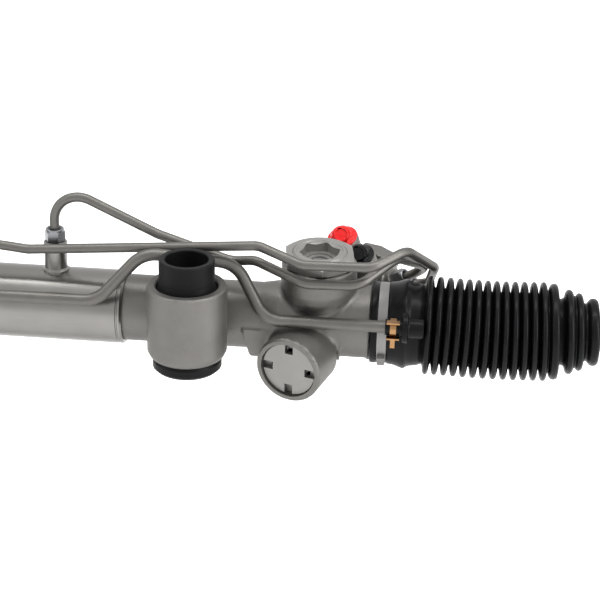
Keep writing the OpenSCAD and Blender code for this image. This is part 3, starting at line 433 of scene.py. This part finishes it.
def gear_casting(p):
    """Gear housing: barrel, bush eye and web, guide tower, pinion case and lobe, welded with fillets,
    then bored along the rack, the bush, the guide and the pinion."""
    rack = seen_from(RACK_FRAME, p)
    gear = seen_from(GEAR_FRAME, p)
    pinion = seen_from(PINION_FRAME, p)
    body = turned(BARREL, rack)
    web = meet(outline_distance(WEB, p[:, 1], p[:, 2]), np.abs(p[:, 0]) - WEB_HALF, WEB_EDGE)
    body = weld(body, web, WEB_FILLET)
    body = weld(body, turned(EYE, p), EYE_FILLET)
    body = weld(body, turned(TOWER, gear), TOWER_FILLET)
    plate = flange_plate(pinion, FLANGE_Z, FLANGE_Z + FLANGE_T)
    case = cut(weld(turned(CASE, pinion), plate, FLANGE_FILLET), room_for_boot(rack))
    body = weld(body, case, CASE_FILLET)
    front = between(gear[:, 1], -LOBE_REACH, 0)
    lobe = meet(outline_distance(LOBE, gear[:, 0], gear[:, 2]), front, LOBE_EDGE)
    body = weld(body, lobe, LOBE_FILLET)
    rib = np.maximum(outline_distance(RIB, gear[:, 0], gear[:, 2]), front)
    body = weld(body, rib, RIB_FILLET)
    rack_r = np.hypot(rack[:, 0], rack[:, 1])
    body = cut(body, np.maximum(SPIGOT_R - rack_r, room_for_boot(rack) + 0.3))
    body = cut(body, turned(EYE_BORE, p))
    body = cut(body, rack_r - RACK_BORE_R)
    body = cut(body, turned(GUIDE_BORE, gear))
    body = cut(body, turned(CASE_BORE, pinion))
    return flange_holes(body, pinion, FLANGE_THREAD_R)


def hose_frame(port):
    """Frame of a hose port: its z axis points out of the port."""
    return PINION_FRAME @ shift(*port) @ PLUG_TILT


def pipe_frame(place, angle):
    """Frame of a pipe port at a place and angle on the valve housing: z points out of the port."""
    return PINION_FRAME @ shift(0, 0, place) @ turn("z", angle) @ turn("y", 90)


def valve_casting(p):
    """Valve housing: turned case, flange and pad with its hose and pipe bosses, bored for the valve."""
    rack = seen_from(RACK_FRAME, p)
    pinion = seen_from(PINION_FRAME, p)
    body = turned(VALVE_CASE, pinion)
    body = weld(body, flange_plate(pinion, FLANGE_Z - FLANGE_T, FLANGE_Z), FLANGE_FILLET)
    pad = outline_distance(VALVE_PAD, pinion[:, 0], pinion[:, 1])
    pad = meet(pad, between(pinion[:, 2], PAD_LOW, PAD_HIGH), PAD_EDGE)
    body = cut(weld(body, pad, PAD_FILLET), room_for_boot(rack))
    for port in (PRESSURE_PORT, RETURN_PORT):
        body = weld(body, turned(HOSE_BOSS, seen_from(hose_frame(port), p)), HOSE_FILLET)
    for place, angle, reach in PIPE_PORTS:
        q = seen_from(pipe_frame(place, angle), p)
        boss = meet(np.hypot(q[:, 0], q[:, 1]) - PIPE_BOSS_R, between(q[:, 2], 0, reach), BOSS_EDGE)
        body = weld(body, boss, PIPE_FILLET)
    body = cut(body, turned(VALVE_BORE, pinion))
    body = cut(body, turned(INPUT_BORE, pinion))
    for port, radius in ((PRESSURE_PORT, PRESSURE_R), (RETURN_PORT, RETURN_R)):
        body = cut(body, rod(seen_from(hose_frame(port), p), 0, 0, radius, PORT_BOTTOM, PORT_TOP))
    for place, angle, _ in PIPE_PORTS:
        q = seen_from(pipe_frame(place, angle), p)
        body = cut(body, rod(q, 0, 0, PIPE_PORT_R, PORT_BOTTOM, PORT_TOP))
    return flange_holes(body, pinion, FLANGE_HOLE_R)


def plug_shape(stem_r):
    """Distance function of a shipping plug in its port's frame: a stem, a flange, a scalloped dome and a
    round face that looks towards the front."""
    def shape(q):
        radius = np.hypot(q[:, 0], q[:, 1])
        around = np.arctan2(q[:, 1], q[:, 0])
        height = q[:, 2] - PLUG_REACH
        stem = meet(radius - stem_r + PLUG_GAP, between(height, -10, 1), 0.6)
        flange = meet(radius - PLUG_FLANGE_R, between(height, PLUG_GAP, 2.4), 0.9)
        scallop = SCALLOP * np.cos(SCALLOPS * around) * np.clip((radius - 6) / 2, 0, 1)
        centre = q - (0, 0, PLUG_REACH + 1)
        dome = np.linalg.norm(centre, axis=1) - PLUG_DOME_R - scallop
        dome = np.maximum(dome, 1 - height)
        face = seen_from(FACE_TURN, centre)
        face_r = np.hypot(face[:, 0], face[:, 1])
        button = meet(face_r - BUTTON_R, between(face[:, 2], 0, BUTTON_REACH), 0.5)
        dish = meet(face_r - BUTTON_R + 0.8, between(face[:, 2], BUTTON_REACH - 0.5, 12), 0.3)
        button = cut(button, dish)
        groove = np.hypot(face_r - BUTTON_R - 0.4, face[:, 2] - 6.6) - 0.5
        head = cut(weld(dome, button, 0.5), groove)
        head = np.maximum(head, PLUG_GAP - height)
        return weld(weld(stem, flange, 0.4), head, 0.8)
    return shape


def port_plug(name, node, port, stem_r, material):
    """Shipping plug: its shape contoured in the port's frame and placed in the part."""
    low = np.array((-12.0, -12.0, PLUG_REACH - 11))
    high = np.array((12.0, 12.0, PLUG_REACH + 11))
    spots, faces = contour(plug_shape(stem_r), low, high, PLUG_STEP)
    piece = mesh_object(name, placed(hose_frame(port), spots), faces, [material])
    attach(piece, "housing")
    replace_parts(piece, node)


# Gaiters

CREST_START = 155.7
CREST_PITCH = 6.37
EVEN_CRESTS = [(CREST_START + i * CREST_PITCH, 33.1, 2.1) for i in range(13)]
BOOT_VALLEY_R = 25.5
BOOT_WALL = 1.4
FOLD_FOOT = 0.7
FOLD_FLANK = 2.0
FOLD_CROWN = 0.5
FOLD_INNER_FLANK = 2.4
END_CRESTS = [(249, 28.3, 2.6), (255.6, 26, 2.4), (264.8, 22.6, 3.4)]
CUFF_OUTSIDE = [(24.4, 117.8), (26.6, 117.8), (27.4, 118.6), (27.4, 121.8), (27, 122.5), (26.5, 122.6),
                (26.5, 129), (27.6, 129.6), (27.8, 133), (28.6, 136), (30, 139.4), (30, 141.2),
                (28, 143.5), (27.5, 150)]
CUFF_INSIDE = [(23.5, 117.8), (23.5, 133), (26, 137), (27.8, 139.5), (27.8, 141), (26.2, 143.5),
               (26, 150)]
BEND_START = 150.0
BEND_END = 240.0
BOOT_SAG = 0.6
BOOT_SIDES = 112


def crest_outside(crest, left_r, right_r):
    """Outside of one fold: up from its left valley, over the crest and down to the right one."""
    x, r, half = crest
    top = half * 0.6
    foot = half + FOLD_FOOT
    flank_r = r - FOLD_FLANK
    return [(left_r, x - foot), (flank_r, x - half), (r - FOLD_CROWN, x - top), (r, x),
            (r - FOLD_CROWN, x + top), (flank_r, x + half), (right_r, x + foot)]


def crest_inside(crest, left_r, right_r):
    """Inside of one fold, a wall's thickness below its outside."""
    x, r, half = crest
    top = half * 0.35
    foot = half * 0.55
    flank_r = r - FOLD_INNER_FLANK
    return [(left_r - BOOT_WALL, x - foot), (flank_r, x - top), (r - BOOT_WALL, x),
            (flank_r, x + top), (right_r - BOOT_WALL, x + foot)]


def along_boot(points):
    """Carries points of (across, up, along) onto the gaiter's line: straight to BEND_START, then a cubic
    that turns into the tie rod's line at BEND_END, with each section square to the line."""
    across, up, s = points.T
    rise = math.radians(TIE_ROD_RISE)
    span = BEND_END - BEND_START
    t = np.clip((s - BEND_START) / span, 0, 1)
    end_z = (BEND_END - BALL_X) * math.sin(rise)
    sag = -BOOT_SAG * (1 - np.cos(2 * math.pi * t)) / 2
    height = end_z * t ** 2 * (3 - 2 * t) + span * math.sin(rise) * t ** 2 * (t - 1) + sag
    slope = end_z / span * 6 * t * (1 - t) + math.sin(rise) * (3 * t ** 2 - 2 * t)
    slope -= BOOT_SAG * math.pi / span * np.sin(2 * math.pi * t)
    height = np.where(s > BEND_END, (s - BALL_X) * math.sin(rise), height)
    slope = np.where(s > BEND_END, math.sin(rise), slope)
    x = s - (1 - math.cos(rise)) * np.maximum(s - BALL_X, 0) - up * slope
    return np.stack([x, RACK_Y + across, RACK_Z + height + up * np.sqrt(1 - slope ** 2)], axis=1)


def boot_piece(name, outline, mirrored, start, end, material):
    """Turned wall of the gaiter, carried onto its line."""
    rings = turned_points(outline, BOOT_SIDES)
    faces = tube_grid(len(outline), BOOT_SIDES, True)
    points = along_boot(rings)
    if mirrored:
        points[:, 0] = 2 * MIRROR_X - points[:, 0]
        faces = faces[:, ::-1]
        start = 2 * MIRROR_X - start
        end = 2 * MIRROR_X - end
    piece = mesh_object(name, points * MM, faces, [material])
    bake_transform(piece)
    return piece


def wall(outside, inside, steps):
    """Closed outline from a wall's outside and inside, with rounded corners and square ends."""
    outer = soft_outline(outside, steps)
    inner = soft_outline(inside, 2)
    return np.concatenate([outer, inner[::-1]])


BOOT_BODY = wall(
    CUFF_OUTSIDE + [p for c in EVEN_CRESTS for p in crest_outside(c, BOOT_VALLEY_R, BOOT_VALLEY_R)]
    + [(31, 236.2), (32, 238.2), (32, 239.8), (31, 241.8), (22.6, 242)],
    CUFF_INSIDE + [p for c in EVEN_CRESTS for p in crest_inside(c, BOOT_VALLEY_R, BOOT_VALLEY_R)]
    + [(24.1, 236.2), (19.6, 236.6), (19.6, 242)], 3)
BOOT_NECK = wall(
    [(22, 238.5)] + crest_outside(END_CRESTS[0], 22, 24) + [(24, 252.7)],
    [(20.6, 238.5)] + crest_inside(END_CRESTS[0], 22, 24) + [(22.6, 252.7)], 4)
BOOT_END = wall(
    [(23.95, 252)] + crest_outside(END_CRESTS[1], 24, 19.2) + crest_outside(END_CRESTS[2], 19.2, 11.8)
    + [(11.8, 274), (11, 275), (11, 281), (11.8, 282), (11.8, 284)],
    [(22.6, 252)] + crest_inside(END_CRESTS[1], 24, 19.2) + crest_inside(END_CRESTS[2], 19.2, 14)
    + [(8.55, 270), (8.55, 284)], 4)


# Breather nipple from its tail over the flange disc to the spigot's tip, along X from NIPPLE_X
NIPPLE = [(0, -4.5), (4.2, -4.5), (4.2, 0), (9.2, 0), (9.8, 0.5), (10, 1), (10, 3), (9.8, 3.6), (9.2, 4),
          (6.9, 4.1), (6.5, 4.6), (6.4, 5.4), (6.4, 12.6), (6.2, 13.5), (5.6, 14), (0, 14)]
NIPPLE_SIDES = 48


def nipple(name, mirrored, material):
    """Turned nipple along X at the breather's end, on the cuff of the gaiter."""
    outline = np.array(NIPPLE) + (0, NIPPLE_X)
    sides = NIPPLE_SIDES
    rings = turned_points(outline[1:-1], sides)
    tips = np.array([(0, 0, outline[0, 1]), (0, 0, outline[-1, 1])])
    points = np.concatenate([rings, tips])
    points = np.stack([points[:, 2], BREATHER_Y + points[:, 0], BREATHER_Z + points[:, 1]], axis=1)
    faces = list(tube_grid(len(outline) - 2, sides, False))
    j = np.arange(sides)
    first = len(rings)
    last = (len(outline) - 3) * sides
    faces += list(np.stack([(j + 1) % sides, j, np.full(sides, first)], axis=1))
    faces += list(np.stack([last + j, last + (j + 1) % sides, np.full(sides, first + 1)], axis=1))
    if mirrored:
        points[:, 0] = 2 * MIRROR_X - points[:, 0]
        faces = [f[::-1] for f in faces]
    piece = mesh_object(name, points * MM, faces, [material])
    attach(piece, "housing")
    return piece


# Node groups: each puts out a tone, a roughness mask and a height that vary over the surface

def add(tree, kind, inputs=None, **settings):
    """Adds a node, sets its properties and its inputs, and links the inputs that are sockets."""
    node = tree.nodes.new(kind)
    for key, value in settings.items():
        setattr(node, key, value)
    for key, value in (inputs or {}).items():
        if isinstance(value, bpy.types.NodeSocket):
            tree.links.new(value, node.inputs[key])
        else:
            node.inputs[key].default_value = value
    return node


def new_group(name, inputs):
    """Node group with a vector and number inputs, and the outputs Tone, Gloss and Height."""
    tree = bpy.data.node_groups.new(name, "ShaderNodeTree")
    tree.interface.new_socket("Vector", in_out="INPUT", socket_type="NodeSocketVector")
    for key, value in inputs.items():
        socket = tree.interface.new_socket(key, in_out="INPUT", socket_type="NodeSocketFloat")
        socket.default_value = value
    for key in ("Tone", "Gloss", "Height"):
        tree.interface.new_socket(key, in_out="OUTPUT", socket_type="NodeSocketFloat")
    return tree, tree.nodes.new("NodeGroupInput"), tree.nodes.new("NodeGroupOutput")


def per_mm(tree, size):
    """Noise scale that gives features of a size in millimetres on coordinates in metres."""
    return add(tree, "ShaderNodeMath", {0: 1000.0, 1: size}, operation="DIVIDE").outputs[0]


def noise(tree, vector, scale, detail=3.0, rough=0.55):
    """Noise texture's value from 0 to 1."""
    return add(tree, "ShaderNodeTexNoise", {
        "Vector": vector, "Scale": scale, "Detail": detail, "Roughness": rough,
    }).outputs["Fac"]


def blend_values(tree, share, low, high):
    """Value between low and high by a share from 0 to 1."""
    return add(tree, "ShaderNodeMix", {0: share, 2: low, 3: high}, data_type="FLOAT").outputs[0]


def blasted_group():
    """Bead-blasted or plated metal: fine grain over broad clouds."""
    tree, source, sink = new_group("blasted_surface", {"Grain mm": 0.5, "Cloud mm": 14.0})
    vector = source.outputs["Vector"]
    grain = noise(tree, vector, per_mm(tree, source.outputs["Grain mm"]), 2.0)
    cloud = noise(tree, vector, per_mm(tree, source.outputs["Cloud mm"]), 3.0)
    tone = blend_values(tree, 0.35, cloud, grain)
    tree.links.new(tone, sink.inputs["Tone"])
    tree.links.new(cloud, sink.inputs["Gloss"])
    tree.links.new(grain, sink.inputs["Height"])
    return tree


def lined_group():
    """Drawn, ground or turned metal: noise stretched along one direction."""
    tree, source, sink = new_group("lined_surface", {
        "Line mm": 0.35, "Stretch X": 0.02, "Stretch Y": 1.0, "Stretch Z": 1.0,
    })
    stretch = add(tree, "ShaderNodeCombineXYZ", {
        0: source.outputs["Stretch X"], 1: source.outputs["Stretch Y"], 2: source.outputs["Stretch Z"],
    }).outputs[0]
    vector = add(tree, "ShaderNodeVectorMath", {0: source.outputs["Vector"], 1: stretch},
                 operation="MULTIPLY").outputs[0]
    lines = noise(tree, vector, per_mm(tree, source.outputs["Line mm"]), 3.0)
    cloud = noise(tree, source.outputs["Vector"], 45.0, 2.0)
    tree.links.new(blend_values(tree, 0.4, cloud, lines), sink.inputs["Tone"])
    tree.links.new(blend_values(tree, 0.5, cloud, lines), sink.inputs["Gloss"])
    tree.links.new(lines, sink.inputs["Height"])
    return tree


def moulded_group():
    """Moulded rubber or plastic: fine grain with soft patches where it has been handled."""
    tree, source, sink = new_group("moulded_surface", {"Grain mm": 0.25, "Patch mm": 22.0})
    vector = source.outputs["Vector"]
    grain = noise(tree, vector, per_mm(tree, source.outputs["Grain mm"]), 2.0)
    patch = noise(tree, vector, per_mm(tree, source.outputs["Patch mm"]), 4.0, 0.6)
    tree.links.new(patch, sink.inputs["Tone"])
    tree.links.new(blend_values(tree, 0.3, patch, grain), sink.inputs["Gloss"])
    tree.links.new(grain, sink.inputs["Height"])
    return tree


BLASTED = blasted_group()
LINED = lined_group()
MOULDED = moulded_group()


def finish(name, colours, roughness, group, values, metallic=0.0, bump=(0.2, 0.05), sockets=None):
    """Material whose colour and roughness run between two values by the group's masks."""
    material = bpy.data.materials.new(name)
    material.use_nodes = True
    tree = material.node_tree
    shader = tree.nodes["Principled BSDF"]
    place = add(tree, "ShaderNodeTexCoord").outputs["Object"]
    texture = add(tree, "ShaderNodeGroup", node_tree=group)
    tree.links.new(place, texture.inputs["Vector"])
    for key, value in values.items():
        texture.inputs[key].default_value = value
    dark, light = colours
    colour = add(tree, "ShaderNodeMix", {
        0: texture.outputs["Tone"], 6: (*dark, 1), 7: (*light, 1),
    }, data_type="RGBA").outputs[2]
    gloss = add(tree, "ShaderNodeMix", {
        0: texture.outputs["Gloss"], 2: roughness[0], 3: roughness[1],
    }, data_type="FLOAT").outputs[0]
    strength, depth = bump
    relief = add(tree, "ShaderNodeBump", {
        "Strength": strength, "Distance": depth * MM, "Height": texture.outputs["Height"],
    })
    tree.links.new(colour, shader.inputs["Base Color"])
    tree.links.new(gloss, shader.inputs["Roughness"])
    tree.links.new(relief.outputs[0], shader.inputs["Normal"])
    shader.inputs["Metallic"].default_value = metallic
    for key, value in (sockets or {}).items():
        shader.inputs[key].default_value = value
    return material


CAST = finish("cast_aluminium", ((0.118, 0.113, 0.105), (0.215, 0.208, 0.195)), (0.44, 0.56), BLASTED,
              {"Grain mm": 0.45, "Cloud mm": 16.0}, metallic=0.85, bump=(0.5, 0.09))
MACHINED = finish("machined_aluminium", ((0.34, 0.335, 0.325), (0.46, 0.455, 0.445)), (0.26, 0.4), LINED,
                  {"Line mm": 0.3, "Stretch X": 1.0}, metallic=1.0, bump=(0.2, 0.03))
TUBE = finish("drawn_tube_steel", ((0.18, 0.174, 0.164), (0.28, 0.273, 0.26)), (0.24, 0.36), LINED,
              {"Line mm": 0.4, "Stretch X": 0.015}, metallic=1.0, bump=(0.12, 0.03))
PIPE = finish("plated_pipe_steel", ((0.11, 0.105, 0.097), (0.18, 0.173, 0.161)), (0.4, 0.52), BLASTED,
              {"Grain mm": 0.35, "Cloud mm": 9.0}, metallic=0.9, bump=(0.12, 0.03))
CAP = finish("faced_aluminium", ((0.22, 0.214, 0.204), (0.32, 0.313, 0.3)), (0.42, 0.52), LINED,
             {"Line mm": 0.4, "Stretch X": 1.0}, metallic=0.7, bump=(0.15, 0.03))
PLAIN_STEEL = finish("plain_steel", ((0.2, 0.195, 0.185), (0.3, 0.295, 0.28)), (0.42, 0.55), BLASTED,
                     {"Grain mm": 0.4, "Cloud mm": 8.0}, metallic=0.8, bump=(0.15, 0.03))
GROUND = finish("ground_steel", ((0.26, 0.26, 0.26), (0.38, 0.38, 0.375)), (0.14, 0.24), LINED,
                {"Line mm": 0.3, "Stretch X": 1.0, "Stretch Y": 0.3}, metallic=1.0, bump=(0.1, 0.02))
DARK_STEEL = finish("phosphated_steel", ((0.055, 0.055, 0.055), (0.12, 0.12, 0.115)), (0.42, 0.6),
                    BLASTED, {"Grain mm": 0.3, "Cloud mm": 9.0}, metallic=0.8, bump=(0.25, 0.04))
ZINC = finish("zinc_plate", ((0.17, 0.176, 0.186), (0.29, 0.298, 0.312)), (0.24, 0.38), BLASTED,
              {"Grain mm": 0.3, "Cloud mm": 7.0}, metallic=1.0, bump=(0.1, 0.03))
STAINLESS = finish("stainless_band", ((0.19, 0.187, 0.181), (0.28, 0.276, 0.268)), (0.42, 0.54), LINED,
                   {"Line mm": 0.3, "Stretch X": 1.0}, metallic=0.8, bump=(0.1, 0.02))
GAITER = finish("gaiter_rubber", ((0.0028, 0.0028, 0.0032), (0.0055, 0.0055, 0.006)), (0.28, 0.38),
                MOULDED, {"Grain mm": 0.3, "Patch mm": 30.0}, bump=(0.06, 0.02),
                sockets={"Specular IOR Level": 0.12})
BUSH = finish("bush_rubber", ((0.003, 0.003, 0.0035), (0.0065, 0.0065, 0.007)), (0.42, 0.55),
              MOULDED, {"Grain mm": 0.35, "Patch mm": 14.0}, bump=(0.2, 0.04),
              sockets={"Specular IOR Level": 0.14})
SEAL = finish("seal_rubber", ((0.01, 0.01, 0.01), (0.02, 0.02, 0.02)), (0.5, 0.65), MOULDED,
              {"Grain mm": 0.3, "Patch mm": 8.0}, bump=(0.15, 0.03))
SEAT = finish("seat_plastic", ((0.62, 0.6, 0.53), (0.72, 0.7, 0.62)), (0.4, 0.5), MOULDED,
              {"Grain mm": 0.2, "Patch mm": 10.0}, bump=(0.05, 0.02))
RING = finish("ring_plastic", ((0.02, 0.02, 0.02), (0.05, 0.05, 0.05)), (0.4, 0.5), MOULDED,
              {"Grain mm": 0.2, "Patch mm": 6.0}, bump=(0.05, 0.02))
RED = finish("red_plastic", ((0.66, 0.008, 0.01), (0.8, 0.014, 0.014)), (0.3, 0.42),
             MOULDED, {"Grain mm": 0.3, "Patch mm": 7.0}, bump=(0.06, 0.03),
             sockets={"Specular IOR Level": 0.3})
BLACK_PLUG = finish("black_plastic", ((0.003, 0.003, 0.0035), (0.006, 0.006, 0.007)), (0.28, 0.4),
                    MOULDED, {"Grain mm": 0.25, "Patch mm": 7.0}, bump=(0.08, 0.03),
                    sockets={"Specular IOR Level": 0.16})
YELLOW_ZINC = finish("yellow_zinc", ((0.22, 0.115, 0.05), (0.45, 0.265, 0.13)), (0.26, 0.4), BLASTED,
                     {"Grain mm": 0.3, "Cloud mm": 3.5}, metallic=1.0, bump=(0.1, 0.03))

NODE_FINISH = {
    "gear_housing": CAST, "valve_housing": CAST, "cylinder_tube": TUBE, "cylinder_ports": TUBE,
    "end_stopper": DARK_STEEL, "end_seal": SEAL, "inner_bulkhead": DARK_STEEL, "inner_seal": SEAL,
    "rack_bar": GROUND, "piston": DARK_STEEL, "piston_ring": RING, "piston_clips": DARK_STEEL,
    "bush_rubber": BUSH, "bush_sleeve": PLAIN_STEEL, "pinion_shaft": GROUND, "pinion_nut": ZINC,
    "pinion_cap": CAP, "lower_bearing_outer": GROUND, "lower_bearing_inner": GROUND,
    "upper_bearing": GROUND, "valve_bolts": ZINC, "valve_sleeve": GROUND,
    "valve_sleeve_rings": RING, "input_shaft": GROUND, "torsion_bar": GROUND, "pinion_seal": SEAL,
    "input_seal": SEAL, "input_snap_ring": ZINC, "dust_cover": GAITER, "rack_guide": MACHINED,
    "guide_liner": SEAT, "guide_spring": DARK_STEEL, "guide_o_ring": SEAL, "guide_cap": CAP,
    "guide_lock_nut": CAP, "pressure_pipe_a": PIPE, "pressure_pipe_b": PIPE,
    "flare_nuts": ZINC, "breather_pipe": PIPE, "breather_sleeves": GAITER,
    "breather_clips": YELLOW_ZINC, "boot_right": GAITER, "boot_left": GAITER,
    "boot_bands": STAINLESS, "boot_clip_right": ZINC, "boot_clip_left": ZINC,
    "socket_right": DARK_STEEL, "socket_left": DARK_STEEL, "lock_washer_right": ZINC,
    "lock_washer_left": ZINC, "ball_seat_right": SEAT, "ball_seat_left": SEAT,
    "tie_rod_right": DARK_STEEL, "tie_rod_left": DARK_STEEL, "jam_nut_right": ZINC,
    "jam_nut_left": ZINC, "pressure_plug": RED, "return_plug": BLACK_PLUG,
    "saddle_grommet": BUSH, "saddle_bracket": DARK_STEEL,
}
for node_name, node_material in NODE_FINISH.items():
    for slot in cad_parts[node_name].material_slots:
        slot.material = node_material


# Pieces that stand for CAD nodes

casting("gear_housing_casting", "gear_housing", gear_casting, GEAR_STEP, [CAST])
casting("valve_housing_casting", "valve_housing", valve_casting, VALVE_STEP, [CAST])
port_plug("pressure_port_plug", "pressure_plug", PRESSURE_PORT, PRESSURE_R, RED)
port_plug("return_port_plug", "return_plug", RETURN_PORT, RETURN_R, BLACK_PLUG)
for side, mirrored in (("right", False), ("left", True)):
    seat_body = "seat_" + side
    parts = (("bellows", BOOT_BODY, ("housing", "rack"), 133, 245),
             ("neck", BOOT_NECK, ("rack", seat_body), 242, 252),
             ("end", BOOT_END, (seat_body, "tie_rod_" + side), 252, 268))
    for part, outline, bodies, start, end in parts:
        piece = boot_piece("boot_" + side + "_" + part, outline, mirrored, start, end, GAITER)
        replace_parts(piece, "boot_" + side)
    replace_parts(nipple("boot_" + side + "_nipple", mirrored, GAITER), "boot_" + side)


# Camera

def camera_matrix():
    """Camera that looks at the target from its azimuth and elevation, rolled about its own axis."""
    back = turn("z", CAMERA_AZIMUTH) @ turn("x", 90 - CAMERA_ELEVATION) @ turn("z", CAMERA_ROLL)
    back[:3, 3] = np.array(CAMERA_TARGET) + back[:3, 2] * CAMERA_DISTANCE
    back[:3, 3] *= MM
    return back


camera_data = bpy.data.cameras.new("photo_camera")
camera_data.lens = LENS
camera = bpy.data.objects.new("photo_camera", camera_data)
camera.matrix_world = Matrix(camera_matrix().tolist())
bpy.context.collection.objects.link(camera)
bpy.context.scene.camera = camera


# Lamps, world and floor

def softbox(name, place, aim, width, height, power):
    """Rectangular lamp at a place, facing the aim, all in metres and watts."""
    data = bpy.data.lights.new(name, "AREA")
    data.shape = "RECTANGLE"
    data.size = width
    data.size_y = height
    data.energy = power
    lamp = bpy.data.objects.new(name, data)
    back = np.array(place, float) - np.array(aim, float)
    back /= np.linalg.norm(back)
    right = np.cross((0, 0, 1), back)
    right /= np.linalg.norm(right)
    matrix = np.eye(4)
    matrix[:3, 0] = right
    matrix[:3, 1] = np.cross(back, right)
    matrix[:3, 2] = back
    matrix[:3, 3] = place
    lamp.matrix_world = Matrix(matrix.tolist())
    bpy.context.collection.objects.link(lamp)


AIM = (0.05, 0.05, 0.0)
softbox("left_strip", (-1.4, -0.5, 0.55), AIM, width=0.25, height=1.2, power=4)
softbox("right_strip", (1.35, -0.5, 0.55), AIM, width=0.22, height=1.25, power=13)
softbox("top_strip", (0.05, 0.02, 1.4), AIM, width=2.2, height=0.25, power=16)


def shows_background(tree):
    """1 for rays that see the background: from the camera, reflected or through something clear."""
    rays = add(tree, "ShaderNodeLightPath")
    share = rays.outputs["Is Camera Ray"]
    for kind in ("Is Glossy Ray", "Is Transmission Ray"):
        either = add(tree, "ShaderNodeMath", {0: share, 1: rays.outputs[kind]}, operation="MAXIMUM")
        share = either.outputs[0]
    return share


# The world is white where it is seen; its soft light comes from above and fades towards the horizon
world = bpy.data.worlds.new("studio")
world.use_nodes = True
bpy.context.scene.world = world
tree = world.node_tree
sky = tree.nodes["Background"]
direction = add(tree, "ShaderNodeTexCoord").outputs["Generated"]
upward = add(tree, "ShaderNodeSeparateXYZ", {0: direction}).outputs["Z"]
dome = add(tree, "ShaderNodeMapRange", {
    "Value": upward, "From Min": 0.3, "From Max": 0.9, "To Min": 0.06, "To Max": 1.25,
}, interpolation_type="SMOOTHSTEP").outputs[0]
level = blend_values(tree, shows_background(tree), dome, 1.0)
tree.links.new(level, sky.inputs["Strength"])
sky.inputs["Color"].default_value = (1, 1, 1, 1)

bpy.context.scene.view_settings.view_transform = "Standard"

# The floor lies just below the lowest swing of a tie rod's end
FLOOR_HALF = 4.0
FLOOR_LIFT = 0.6
LOWEST_SWING = -118.0
corners = [(x, y, LOWEST_SWING * MM) for x, y in ((-1, -1), (1, -1), (1, 1), (-1, 1))]
floor_mesh = bpy.data.meshes.new("floor")
floor_mesh.from_pydata([(x * FLOOR_HALF, y * FLOOR_HALF, z) for x, y, z in corners], [], [(0, 1, 2, 3)])
floor = bpy.data.objects.new("floor", floor_mesh)
bpy.context.collection.objects.link(floor)
paper = bpy.data.materials.new("floor_paper")
paper.use_nodes = True
tree = paper.node_tree
shader = tree.nodes["Principled BSDF"]
shader.inputs["Base Color"].default_value = (0.8, 0.8, 0.8, 1)
shader.inputs["Roughness"].default_value = 1.0
shader.inputs["Specular IOR Level"].default_value = 0.0
shader.inputs["Emission Color"].default_value = (1, 1, 1, 1)
lift = add(tree, "ShaderNodeMath", {0: shows_background(tree), 1: FLOOR_LIFT}, operation="MULTIPLY")
tree.links.new(lift.outputs[0], shader.inputs["Emission Strength"])
floor_mesh.materials.append(paper)
